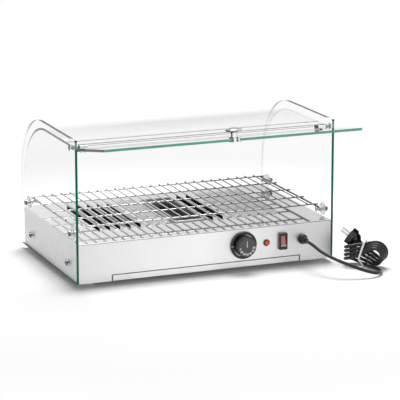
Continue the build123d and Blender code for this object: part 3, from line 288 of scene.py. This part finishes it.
class Finish:
    """One material. Its nodes all come from node()."""

    def __init__(self, name, slot, colour=(0.8, 0.8, 0.8), roughness=0.5, **constants):
        self.slot = slot
        self.material = bpy.data.materials.new(name)
        self.material.use_nodes = True
        self.tree = self.material.node_tree
        self.surface = self.tree.nodes["Principled BSDF"]
        self.surface.inputs["Base Color"].default_value = (*colour, 1.0)
        self.surface.inputs["Roughness"].default_value = roughness
        for socket, number in constants.items():
            name = socket.replace("_", " ").title().replace("Ior", "IOR")
            self.surface.inputs[name].default_value = number

    def node(self, kind, settings=None, sockets=None):
        made = self.tree.nodes.new(kind)
        for setting, choice in (settings or {}).items():
            if setting == "stops":
                made.color_ramp.elements[0].position = choice[0][0]
                made.color_ramp.elements[0].color = (*choice[0][1], 1.0)
                made.color_ramp.elements[1].position = choice[-1][0]
                made.color_ramp.elements[1].color = (*choice[-1][1], 1.0)
                for position, colour in choice[1:-1]:
                    made.color_ramp.elements.new(position).color = (*colour, 1.0)
            else:
                setattr(made, setting, choice)
        for socket, given in (sockets or {}).items():
            if isinstance(given, Value):
                self.tree.links.new(given.socket, made.inputs[socket])
            else:
                made.inputs[socket].default_value = given
        return made

    def value(self, made, output):
        return Value(self, made.outputs[output])

    def link(self, value, socket):
        self.tree.links.new(value.socket, self.surface.inputs[socket])

    def place(self):
        """Where on the object, as x, y and z in its own frame."""
        return self.parts(self.value(self.node("ShaderNodeTexCoord"), "Object"))

    def parts(self, vector):
        split = self.node("ShaderNodeSeparateXYZ", None, {0: vector})
        return [self.value(split, axis) for axis in "XYZ"]

    def facing(self):
        """The way the surface faces, as x, y and z in the object's own frame."""
        return self.parts(self.value(self.node("ShaderNodeTexCoord"), "Normal"))

    def flat_normal(self):
        """The smooth normal, but the face's own on sheet that lies square to the object."""
        about = self.node("ShaderNodeNewGeometry")
        own, smooth = self.value(about, "True Normal"), self.value(about, "Normal")
        x, y, z = self.parts(own)
        square = abs(x).most(abs(y)).most(abs(z)).above(0.9999)
        mixed = self.node("ShaderNodeMix", {"data_type": "VECTOR"}, {0: square, 4: smooth, 5: own})
        return self.value(mixed, 1)

    def grain(self, scale, stretch=(1.0, 1.0, 1.0), detail=3.0, roughness=0.55):
        """A fine noise from 0 to 1, drawn out along an axis by a small stretch."""
        where = self.node("ShaderNodeTexCoord")
        drawn = self.node(
            "ShaderNodeMapping",
            {"vector_type": "POINT"},
            {"Vector": self.value(where, "Object"), "Scale": stretch},
        )
        noise = self.node(
            "ShaderNodeTexNoise",
            {"noise_dimensions": "3D"},
            {
                "Vector": self.value(drawn, 0),
                "Scale": scale,
                "Detail": detail,
                "Roughness": roughness,
            },
        )
        return self.value(noise, 0)

    def blend(self, share, low, high):
        """A colour between two others."""
        sides = {0: share}
        for socket, colour in ((6, low), (7, high)):
            sides[socket] = colour if isinstance(colour, Value) else (*colour, 1.0)
        mixed = self.node("ShaderNodeMix", {"data_type": "RGBA"}, sides)
        return self.value(mixed, 2)

    def ramp(self, share, greys):
        """A grey that changes over 0 to 1 by stops of place and grey."""
        stops = [(position, (grey, grey, grey)) for position, grey in greys]
        made = self.node("ShaderNodeValToRGB", {"stops": stops}, {0: share})
        return self.value(made, 0)

    def bump(self, height, distance, normal=None):
        sockets = {"Height": height, "Distance": distance}
        if normal:
            sockets["Normal"] = normal
        self.link(self.value(self.node("ShaderNodeBump", None, sockets), 0), "Normal")


# Finishes
def stainless_shell():
    """The folded base: brushed on the front and mirror bright on the deck. Painted light in its
    colour: a painted reflection across the front and deck, painted shade on the front bend and
    near black within the case, and painted shadow lines at the crumb tray's gap.
    """
    finish = Finish("stainless_shell", "steel_polished", metallic=1.0)
    x, y, z = finish.place()
    normal = finish.flat_normal()
    facing_y, facing_z = finish.parts(normal)[1:]
    brushed = finish.grain(900.0, (0.02, 1.0, 1.0), detail=2.0)
    cloud = finish.grain(7.0, detail=2.0)
    deck = facing_z.rising(0.3, 0.9) * z.above(0.05)
    # Painted shade on the rounded bend between deck and front, laid over its highlight; the bend
    # is made rougher as well.
    bend = facing_z.rising(0.10, 0.45) * (1.0 - facing_z.rising(0.85, 0.98))
    # Faces within the case are painted near black: painted shade.
    painted_shade_inside = facing_y.above(0.5) * y.below(0.0) + facing_z.below(-0.5)
    # Front and deck colours change across the case: a painted reflection that darkens to the
    # right.
    along = x.rising(-PANE_FACE, PANE_FACE) + (cloud - 0.5) * 0.06
    front = finish.ramp(
        along,
        [
            (0.0, 0.75),
            (0.10, 0.79),
            (0.28, 0.85),
            (0.48, 0.88),
            (0.66, 0.82),
            (0.86, 0.70),
            (1.0, 0.67),
        ],
    )
    top = finish.ramp(along, [(0.0, 0.86), (0.25, 0.74), (0.55, 0.66), (1.0, 0.56)])
    outside = finish.blend(bend * 0.9, finish.blend(deck, front, top), (0.18, 0.18, 0.18))
    # Painted shadow lines beside and over the crumb tray's gap.
    across = abs(x).below(TRAY_GAP + SHADE_BESIDE)
    up_to = z.below(TRAY_GAP_TOP + SHADE_OVER)
    beside = abs(x).above(TRAY_GAP) * across * up_to
    over = across * z.above(TRAY_GAP_TOP) * up_to
    shadow = beside.most(over) * y.below(FRONT + 0.0008)
    shaded = finish.blend(painted_shade_inside.most(shadow * 0.9), outside, (0.04, 0.04, 0.04))
    finish.link(shaded, "Base Color")
    matt = (0.34 + brushed * 0.10) * (1.0 - deck) + bend * 0.45
    finish.link(matt + (0.05 + cloud * 0.04) * deck, "Roughness")
    finish.bump(brushed * (1.0 - deck), 0.00006, normal)
    return finish


def brushed_steel(name, slot, colour, roughness):
    finish = Finish(name, slot, metallic=1.0)
    brushed = finish.grain(700.0, (0.03, 1.0, 1.0), detail=2.0)
    worn = finish.grain(40.0, detail=4.0)
    darker = tuple(part * 0.86 for part in colour)
    finish.link(finish.blend(worn, darker, colour), "Base Color")
    finish.link(roughness + brushed * 0.12, "Roughness")
    finish.bump(brushed, 0.00005, finish.flat_normal())
    return finish


def drawn_aluminium():
    """The water tray: matt grey, with painted shade darkening its hollow below the deck."""
    finish = Finish("drawn_aluminium", "aluminium", metallic=0.85)
    z = finish.place()[2]
    matt = finish.grain(260.0, detail=3.0)
    # Painted shade in the tray's hollow, darker towards its bottom.
    painted_shade_inside = 1.0 - z.rising(DECK - 0.018, DECK - 0.001)
    finish.link(finish.blend(painted_shade_inside, (0.42, 0.42, 0.42), (0.10, 0.10, 0.10)), "Base Color")
    finish.link(0.32 + matt * 0.14, "Roughness")
    finish.bump(matt, 0.00004)
    return finish


def bright_chrome():
    """Chrome fittings with painted reflections by the way each face turns: bright to the front and
    back, grey on top and dark in their flanks.
    """
    finish = Finish("bright_chrome", "chrome", metallic=1.0)
    facing_y, facing_z = finish.facing()[1:]
    smear = finish.grain(160.0, detail=3.0)
    bright = finish.blend(smear, (0.74, 0.74, 0.76), (0.95, 0.95, 0.96))
    turned = finish.blend(abs(facing_y).rising(0.35, 0.85), (0.055, 0.055, 0.06), bright)
    top = finish.blend(smear, (0.26, 0.26, 0.27), (0.50, 0.50, 0.51))
    finish.link(finish.blend(facing_z.rising(0.55, 0.95), turned, top), "Base Color")
    finish.link(0.05 + smear * 0.10, "Roughness")
    return finish


def handle_chrome():
    """The handle's clamp: its flat faces carry painted reflections of the room in upright stripes,
    dark on its sides and grey on top.
    """
    finish = Finish("handle_chrome", "chrome", metallic=1.0)
    x = finish.place()[0]
    facing_x, _, facing_z = finish.facing()
    smear = finish.grain(160.0, detail=3.0)
    stripes = finish.ramp(
        x.rising(-CLAMP_STRIPES, CLAMP_STRIPES) + (smear - 0.5) * 0.1,
        [
            (0.0, 0.05),
            (0.20, 0.80),
            (0.42, 0.90),
            (0.52, 0.05),
            (0.62, 0.20),
            (0.80, 0.92),
            (1.0, 0.15),
        ],
    )
    sided = finish.blend(abs(facing_x).rising(0.5, 0.8), stripes, (0.05, 0.05, 0.055))
    finish.link(finish.blend(facing_z.rising(0.85, 0.97), sided, (0.34, 0.34, 0.35)), "Base Color")
    finish.link(0.05 + smear * 0.10, "Roughness")
    return finish


def side_chrome():
    """Screw heads and caps on the panes: grey and dark as a painted reflection, with a painted
    highlight on the crown.
    """
    finish = Finish("side_chrome", "chrome", metallic=1.0)
    facing_z = finish.facing()[2]
    smear = finish.grain(300.0, detail=3.0)
    painted_dark_sides = finish.blend(smear, (0.05, 0.05, 0.055), (0.26, 0.26, 0.27))
    finish.link(finish.blend(facing_z.rising(0.45, 0.90), painted_dark_sides, (0.80, 0.80, 0.81)), "Base Color")
    finish.link(0.08 + smear * 0.12, "Roughness")
    return finish


def rack_chrome():
    """Chromed wire: a painted highlight along its top and painted darker flanks, both changing
    across the rack.
    """
    finish = Finish("rack_chrome", "chrome", metallic=1.0)
    facing_z = finish.facing()[2]
    smear = finish.grain(90.0, detail=3.0)
    x = finish.place()[0]
    flank = 1.0 - facing_z.rising(0.40, 0.92)
    bright = finish.ramp(
        x.rising(-PANE_FACE, PANE_FACE) + (smear - 0.5) * 0.2,
        [(0.0, 0.36), (0.15, 0.46), (0.30, 0.78), (0.50, 0.80), (0.62, 0.46), (1.0, 0.25)],
    )
    dark = finish.ramp(
        x.rising(-PANE_FACE, PANE_FACE),
        [(0.0, 0.46), (0.25, 0.30), (0.55, 0.16), (1.0, 0.09)],
    )
    finish.link(finish.blend(flank * 0.94, bright, dark), "Base Color")
    finish.link(0.24 + smear * 0.10, "Roughness")
    return finish


def side_pane(name):
    """Float glass on end: clear across, deep green at the front, faint round the back."""
    finish = Finish(name, "glass", specular_ior_level=0.08)
    y, z = finish.place()[1:]
    normal = finish.flat_normal()
    facing_x = finish.parts(normal)[0]
    waves = finish.grain(30.0, (1.0, 1.0, 0.15), detail=2.0)
    edge = abs(facing_x).below(0.6)
    front = y.below(FRONT + 0.0021)
    past_corner = y.above(FRONT + 0.025)
    level = z.above(GLASS_TOP - 0.0006) * (0.3 + past_corner * 0.7)
    top = level + z.rising(GLASS_TOP - 0.054, GLASS_TOP - 0.009) * y.above(REAR_BEND) * 0.8
    band = z.above(GLASS_TOP - 0.0015) * past_corner
    low = z.below(GLASS_BOTTOM + 0.0006)
    green = finish.blend(waves, (0.001, 0.165, 0.085), (0.004, 0.240, 0.135))
    # The front edge turns pale near its top, where the corner is polished round: a painted
    # reflection.
    pale = finish.blend(z.rising(GLASS_TOP - 0.020, GLASS_TOP - 0.015), green, (0.50, 0.62, 0.58))
    tip = finish.blend(z.above(GLASS_TOP - 0.0032), pale, (0.006, 0.020, 0.015))
    around = finish.blend(top.least(1.0), (0.60, 0.62, 0.60), (0.006, 0.032, 0.022))
    away = y.rising(FRONT + 0.10, FRONT + 0.33)
    bottom = finish.blend(away, (0.01, 0.12, 0.075), (0.05, 0.07, 0.06))
    rim = finish.blend(front, finish.blend(low, around, bottom), tip)
    finish.link(finish.blend(edge.most(band), (0.30, 0.32, 0.31), rim), "Base Color")
    seen = (front + low * 0.85 + top + 0.13).least(1.0)
    finish.link(edge * seen + (1.0 - edge) * (0.025 + band * 0.75), "Alpha")
    finish.link(0.04 + edge * 0.18, "Roughness")
    finish.link(normal, "Normal")
    return finish


def flap_pane():
    """The flap's glass: clear across, green at its front edge, grey at its rear and ends."""
    finish = Finish("flap_pane", "glass", specular_ior_level=0.15)
    x, y, z = finish.place()
    waves = finish.grain(30.0, (0.15, 1.0, 1.0), detail=2.0)
    run = (y - FLAP_PIVOT[0]) * math.cos(FLAP_TILT) - (z - FLAP_PIVOT[1]) * math.sin(FLAP_TILT)
    ends = abs(x).above(FLAP_HALF - 0.0004)
    front = run.below(FLAP_FRONT + 0.0004) * (1.0 - ends)
    rear = run.above(FLAP_REAR - 0.0004) * (1.0 - ends)
    edge = front.most(rear).most(ends)
    green = finish.blend(waves, (0.19, 0.70, 0.49), (0.29, 0.82, 0.60))
    grey = finish.blend(ends, (0.42, 0.41, 0.40), (0.05, 0.09, 0.075))
    rims = finish.blend(front, grey, green)
    finish.link(finish.blend(edge, (0.90, 0.95, 0.93), rims), "Base Color")
    hidden = rear * 0.68 + ends * x.above(0.0) * 0.80
    finish.link(edge * (0.95 - hidden) + (1.0 - edge) * 0.03, "Alpha")
    finish.link(0.04 + edge * 0.18, "Roughness")
    return finish


def clear_acrylic():
    """The bent roof: a faint grey, made greyer on top towards the rear bend by a painted
    reflection where it is seen at a slant; unseen down the back, with grey cut edges.
    """
    finish = Finish("clear_acrylic", "clear_acrylic", specular_ior_level=0.4)
    x, y, z = finish.place()
    normal = finish.flat_normal()
    facing_x = finish.parts(normal)[0]
    haze = finish.grain(12.0, detail=2.0)
    edge = abs(facing_x).above(0.7)
    left, right = edge * x.below(0.0), edge * x.above(0.0)
    left_rim = left * (0.10 + z.rising(0.210, 0.272) * 0.82)
    nose = y.below(ROOF_FRONT + 0.0003)
    rims = nose * (z.above(ROOF_TOP - 0.0012) + z.below(ROOF_TOP - 0.0036))
    strip = z.above(ROOF_TOP - 0.0003) * y.above(ROOF_FRONT + 0.026) * y.below(ROOF_FRONT + 0.033)
    lines = rims.most(strip)
    level = z.rising(ROOF_TOP - 0.045, ROOF_TOP - 0.004)
    # A painted reflection, greyer on top towards the rear bend where the roof is seen at a slant.
    painted_slant_reflection = y.rising(ROOF_FRONT + 0.02, REAR_BEND + 0.045) * x.rising(-0.30, -0.05) * 0.105
    tint = level * painted_slant_reflection + haze * 0.012 + 0.028
    cut = left.most(right)
    grey = finish.blend(lines.most(cut), (0.16, 0.16, 0.16), (0.07, 0.07, 0.065))
    finish.link(grey, "Base Color")
    clear = (1.0 - cut.most(nose)) * tint + nose * 0.04
    finish.link((left_rim + right * 0.14 + lines * 0.85 + clear).least(0.88), "Alpha")
    finish.link(0.05 + haze * 0.05, "Roughness")
    finish.link(normal, "Normal")
    return finish


def milky_plastic():
    finish = Finish("milky_plastic", "clear_plastic", (0.80, 0.81, 0.81), 0.22)
    cloud = finish.grain(120.0, detail=3.0)
    finish.link(0.36 + cloud * 0.12, "Alpha")
    finish.link(0.16 + cloud * 0.10, "Roughness")
    return finish


def moulded(name, slot, low, high, roughness, scale=900.0, depth=0.00003, **constants):
    """Moulded plastic or rubber with a fine spark texture and a little unevenness."""
    finish = Finish(name, slot, **constants)
    spark = finish.grain(scale, detail=2.0)
    uneven = finish.grain(35.0, detail=3.0)
    finish.link(finish.blend(uneven, low, high), "Base Color")
    finish.link(roughness + spark * 0.12, "Roughness")
    finish.bump(spark, depth)
    return finish


def heat_tinted_tube():
    finish = Finish("heat_tinted_tube", "element_steel", metallic=0.9)
    tint = finish.grain(25.0, detail=4.0)
    finish.link(finish.blend(tint, (0.22, 0.19, 0.17), (0.40, 0.34, 0.28)), "Base Color")
    finish.link(0.38 + tint * 0.2, "Roughness")
    return finish


def dial_knob():
    """The knob: satin grey on its face, black round its skirt."""
    finish = Finish("dial_knob", "grey_plastic")
    facing_y = finish.facing()[1]
    spark = finish.grain(900.0, detail=2.0)
    face = (-facing_y).rising(0.85, 0.97)
    finish.link(finish.blend(face, (0.011, 0.011, 0.012), (0.085, 0.085, 0.087)), "Base Color")
    finish.link(0.22 + face * 0.14 + spark * 0.10, "Roughness")
    finish.bump(spark, 0.00003)
    return finish


def painted_light_rocker():
    """Red rocker, paler down its middle as painted light, with a painted highlight as a pale line
    near its lower end.
    """
    finish = Finish("red_rocker", "red_plastic", coat_weight=0.5, coat_roughness=0.1)
    x, _, z = finish.place()
    smooth = finish.grain(300.0, detail=2.0)
    # A painted highlight: the pale line near the rocker's lower end.
    line = z.above(SWITCH[1] - ROCKER_HIGHLIGHT[0]) * z.below(SWITCH[1] - ROCKER_HIGHLIGHT[1])
    # Painted light: paler down the rocker's middle.
    painted_middle_light = 1.0 - abs(x - SWITCH[0]).rising(*ROCKER_PAINTED_LIGHT)
    reds = finish.blend(smooth * 0.4 + painted_middle_light * 0.6, (0.50, 0.04, 0.035), (0.86, 0.26, 0.23))
    finish.link(finish.blend(line, reds, (0.76, 0.60, 0.58)), "Base Color")
    finish.link(0.16 + smooth * 0.10, "Roughness")
    return finish


def amber_lens():
    """Ribbed orange lens of the pilot lamp, darker towards its rim."""
    finish = Finish("amber_lens", "amber_lens", coat_weight=0.2, coat_roughness=0.08)
    x, _, z = finish.place()
    aside, up = x - LAMP[0], z - LAMP[1]
    rim = (aside * aside + up * up).maths("SQRT").rising(*LENS_RIM)
    facets = finish.grain(420.0, detail=1.0)
    orange = finish.blend(facets, (0.54, 0.075, 0.004), (0.78, 0.17, 0.018))
    finish.link(finish.blend(rim, orange, (0.10, 0.020, 0.004)), "Base Color")
    finish.link(0.18 + facets * 0.15, "Roughness")
    finish.bump(facets, 0.0002)
    return finish


shell = stainless_shell()
sheet = brushed_steel("plain_steel_sheet", "steel", (0.76, 0.76, 0.76), 0.52)
fixings = brushed_steel("zinc_fixings", "steel", (0.62, 0.62, 0.63), 0.26)
tray_metal = drawn_aluminium()
chrome = bright_chrome()
striped_chrome = handle_chrome()
pane_chrome = side_chrome()
wire = rack_chrome()
left_pane = side_pane("left_pane")
right_pane = side_pane("right_pane")
flap_glass = flap_pane()
acrylic = clear_acrylic()
spool_plastic = milky_plastic()
black = moulded(
    "black_moulding", "black_plastic", (0.008, 0.008, 0.009), (0.018, 0.018, 0.020), 0.12
)
gland_black = moulded(
    "gland_moulding", "black_plastic", (0.006, 0.006, 0.007), (0.014, 0.014, 0.016), 0.16,
    specular_ior_level=0.3,
)
knob = dial_knob()
phenolic = moulded("phenolic_body", "dark_plastic", (0.03, 0.03, 0.03), (0.06, 0.055, 0.05), 0.4)
white = moulded("white_moulding", "white_plastic", (0.72, 0.72, 0.71), (0.82, 0.82, 0.80), 0.35)
red = painted_light_rocker()
rubber = moulded("black_rubber", "black_rubber", (0.012, 0.012, 0.012), (0.03, 0.03, 0.03), 0.55)
# The feet are pale in their own colour, and made paler still as painted light where they stand in
# the case's shadow.
foot_moulding = moulded(
    "foot_moulding", "black_rubber", (0.60, 0.60, 0.60), (0.84, 0.84, 0.84), 0.10, coat_weight=1.0
)
jacket = moulded(
    "cord_jacket", "cord", (0.008, 0.008, 0.009), (0.018, 0.018, 0.020), 0.24,
    scale=500.0, specular_ior_level=0.2, coat_weight=0.35, coat_roughness=0.10,
)
element = heat_tinted_tube()
amber = amber_lens()

NODE_FINISHES = {
    shell: ["base_shell", "crumb_tray"],
    sheet: [
        "side_plate_left",
        "side_plate_right",
        "bottom_plate",
        "crumb_tray_guides",
        "control_shield",
        "element_hangers",
    ],
    fixings: [
        "rivet_nuts",
        "rack_pins",
        "clamp_screws",
        "hinge_pins",
        "handle_screw",
        "thermostat_shaft",
        "thermostat_screws",
        "element_nuts",
        "foot_screws",
        "foot_nuts",
        "plug_pins",
    ],
    tray_metal: ["water_tray"],
    left_pane: ["side_glass_left"],
    right_pane: ["side_glass_right"],
    flap_glass: ["door_glass"],
    acrylic: ["roof_panel"],
    spool_plastic: ["rack_pin_discs"],
    chrome: [
        "rear_wall_screws",
        "hinge_clamp_left",
        "hinge_clamp_right",
        "hinge_caps",
        "handle_knob",
    ],
    striped_chrome: ["handle_clamp"],
    pane_chrome: ["glass_screws", "rack_pin_caps"],
    wire: ["wire_rack"],
    black: ["thermostat_ring", "switch_frame", "plug_body"],
    gland_black: ["cable_gland", "gland_nut"],
    knob: ["thermostat_knob"],
    phenolic: ["thermostat_body"],
    white: ["hinge_bushes", "pilot_body", "terminal_block", "cord_tie"],
    red: ["switch_rocker"],
    rubber: ["glass_screw_washers"],
    foot_moulding: ["feet"],
    element: ["heating_elements"],
    amber: ["pilot_lens"],
}


def finish_the_nodes():
    for finish, names in NODE_FINISHES.items():
        for name in names:
            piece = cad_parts[name]
            piece.data.materials.clear()
            piece.data.materials.append(finish.material)


finish_the_nodes()
cord.data.materials.append(jacket.material)


# Panes: two faces that share a plane render torn, so each pane that is seen has a hair of air
# where the CAD's bears on the sheet behind it
def aired_pane(name, node, axis, bearing, shift):
    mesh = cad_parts[node].data.copy()
    for vertex in mesh.vertices:
        if abs(vertex.co[axis] - bearing) < AIR / 2:
            vertex.co[axis] += shift
    pane = add_object(name, mesh)
    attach(pane, "case")
    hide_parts(node)


roof_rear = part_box("roof_panel")[1][1] - PANEL
aired_pane("left_side_pane", "side_glass_left", 0, -SHEET_FACE, -AIR)
aired_pane("right_side_pane", "side_glass_right", 0, SHEET_FACE, AIR)
aired_pane("bent_roof", "roof_panel", 1, roof_rear, AIR)


# Marks on the controls
BAR_PROUD = 0.00012
BAR_WIDTH = 0.0014
POINTER_LENGTH = 0.0130
POINTER_RISE = 0.0065
INDEX_LENGTH = 0.0040
INDEX_OUT = 0.0253
NUMBER_PROUD = 0.00006
NUMBER_RING = 0.0150
NUMBER_HEIGHT = 0.0058
FIRST_NUMBER_ANGLE = 190
NUMBER_STEP = 27
TEMPERATURES = ["0", "30", "40", "50", "60", "70", "80"]


def print_white():
    finish = Finish("white_print", "white_plastic")
    worn = finish.grain(400.0, detail=2.0)
    finish.link(finish.blend(worn, (0.78, 0.78, 0.78), (0.92, 0.92, 0.92)), "Base Color")
    finish.link(0.4 + worn * 0.2, "Roughness")
    return finish


marks = print_white()


def print_on(body, name, mesh, finish):
    """A mark is a piece of its own, on the body that carries it."""
    mesh.materials.append(finish.material)
    made = add_object(name, mesh)
    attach(made, body)


def bar_on_front(name, body, centre, y, length, angle, finish):
    """A printed bar, a little proud of a face at y and as deep into it."""
    along = Vector((math.cos(angle), 0, math.sin(angle))) * (length / 2)
    side = Vector((-math.sin(angle), 0, math.cos(angle))) * (BAR_WIDTH / 2)
    middle = Vector((centre[0], y, centre[1]))
    proud = Vector((0, -BAR_PROUD, 0))
    rim = [
        middle - along - side,
        middle + along - side,
        middle + along + side,
        middle - along + side,
    ]
    vertices = [corner + proud for corner in rim] + [corner - proud for corner in rim]
    faces = [(0, 1, 2, 3), (7, 6, 5, 4)]
    faces += [(i, i + 4, (i + 1) % 4 + 4, (i + 1) % 4) for i in range(4)]
    mesh = bpy.data.meshes.new(name)
    mesh.from_pydata([tuple(vertex) for vertex in vertices], [], faces)
    mesh.validate()
    print_on(body, name, mesh, finish)


def number_on_front(name, body, words, centre, y, height, finish):
    """Raised numerals that read from the front."""
    curve = bpy.data.curves.new(name, "FONT")
    curve.body = words
    curve.size = height
    curve.align_x = "CENTER"
    curve.align_y = "CENTER"
    curve.extrude = NUMBER_PROUD
    curve.offset = 0.00022
    curve.resolution_u = 3
    shape = add_object(name + "_curve", curve)
    bpy.context.view_layer.update()
    mesh = bpy.data.meshes.new_from_object(shape)
    bpy.data.objects.remove(shape)
    upright = Matrix.Rotation(math.pi / 2, 4, "X")
    mesh.transform(Matrix.Translation(Vector((centre[0], y, centre[1]))) @ upright)
    print_on(body, name, mesh, finish)


def dial_marks():
    """Pointer and temperatures on the knob, and the index on its ring."""
    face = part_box("thermostat_knob")[0][1]
    ring_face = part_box("thermostat_ring")[0][1]
    pointer = (DIAL[0], DIAL[1] + POINTER_RISE)
    bar_on_front("dial_pointer", "dial", pointer, face, POINTER_LENGTH, math.pi / 2, marks)
    for number, words in enumerate(TEMPERATURES):
        angle = math.radians(FIRST_NUMBER_ANGLE + number * NUMBER_STEP)
        centre = (
            DIAL[0] + NUMBER_RING * math.cos(angle),
            DIAL[1] + NUMBER_RING * math.sin(angle),
        )
        name = "dial_number_" + words
        number_on_front(name, "dial", words, centre, face, NUMBER_HEIGHT, marks)
    index = (DIAL[0] - INDEX_OUT, DIAL[1])
    bar_on_front("dial_index", "case", index, ring_face, INDEX_LENGTH, 0.0, marks)


dial_marks()


# Floor, light and white background
FLOOR_REACH = 20
FLOOR_MIDDLE = 0.05
PAPER_END = 0.52
WHITE_START = 0.95
WORLD_LIGHT = 0.36


class Stage(Finish):
    """A finish whose surface is built up from shaders."""

    def shader(self, kind, sockets):
        return self.value(self.node(kind, None, sockets), 0)


def camera_sees(finish):
    """1 for what the camera sees straight, in a reflection or through glass."""
    path = finish.node("ShaderNodeLightPath")
    seen = finish.value(path, "Is Camera Ray").most(finish.value(path, "Is Glossy Ray"))
    return seen.most(finish.value(path, "Is Transmission Ray"))


def pale_floor():
    """Pale paper under the object, which turns into plain white further out."""
    finish = Stage("pale_floor", "floor")
    x, y = finish.place()[:2]
    away = (x * x + (y - FLOOR_MIDDLE) * (y - FLOOR_MIDDLE)).maths("SQRT")
    seen = camera_sees(finish)
    paper = finish.shader("ShaderNodeBsdfDiffuse", {"Color": (0.90, 0.90, 0.90, 1.0)})
    lift = finish.shader(
        "ShaderNodeEmission", {"Color": (1.0, 1.0, 1.0, 1.0), "Strength": seen * 0.02}
    )
    lit = finish.shader("ShaderNodeAddShader", {0: paper, 1: lift})
    open_white = finish.shader("ShaderNodeEmission", {"Strength": seen})
    mixed = finish.shader(
        "ShaderNodeMixShader", {0: away.rising(PAPER_END, WHITE_START), 1: lit, 2: open_white}
    )
    output = finish.tree.nodes["Material Output"]
    finish.tree.links.new(mixed.socket, output.inputs["Surface"])
    finish.tree.nodes.remove(finish.surface)
    mesh = bpy.data.meshes.new("floor")
    corners = [(-1, -1), (1, -1), (1, 1), (-1, 1)]
    places = [(side * FLOOR_REACH, end * FLOOR_REACH, 0) for side, end in corners]
    mesh.from_pydata(places, [], [(0, 1, 2, 3)])
    mesh.materials.append(finish.material)
    floor = add_object("floor", mesh)


pale_floor()


def white_world():
    """White wherever it is seen, and a weaker lamp for everything it lights."""
    world = bpy.data.worlds.new("white_world")
    bpy.context.scene.world = world
    world.use_nodes = True
    tree = world.node_tree
    path = tree.nodes.new("ShaderNodeLightPath")
    back = tree.nodes["Background"]
    back.inputs["Color"].default_value = (1.0, 1.0, 1.0, 1.0)
    rays = ["Is Camera Ray", "Is Glossy Ray", "Is Transmission Ray"]
    seen = path.outputs[rays[0]]
    for ray in rays[1:]:
        most = tree.nodes.new("ShaderNodeMath")
        most.operation = "MAXIMUM"
        tree.links.new(seen, most.inputs[0])
        tree.links.new(path.outputs[ray], most.inputs[1])
        seen = most.outputs[0]
    level = tree.nodes.new("ShaderNodeMapRange")
    level.inputs["To Min"].default_value = WORLD_LIGHT
    level.inputs["To Max"].default_value = 1.0
    tree.links.new(seen, level.inputs["Value"])
    tree.links.new(level.outputs[0], back.inputs["Strength"])


white_world()


def soft_box(name, place, aim, size, power):
    lamp = bpy.data.lights.new(name, "AREA")
    lamp.shape = "RECTANGLE"
    lamp.size, lamp.size_y = size
    lamp.energy = power
    made = add_object(name, lamp)
    made.location = place
    made.rotation_euler = (Vector(aim) - Vector(place)).to_track_quat("-Z", "Y").to_euler()


soft_box("overhead_light", (0.45, 0.60, 2.3), (0.12, 0.02, 0.0), (1.5, 1.1), 60.0)
soft_box("front_fill", (-1.6, -2.4, 1.5), (0.0, 0.0, 0.1), (1.4, 1.4), 6.0)

bpy.context.scene.view_settings.view_transform = "Standard"

bpy.context.view_layer.update()
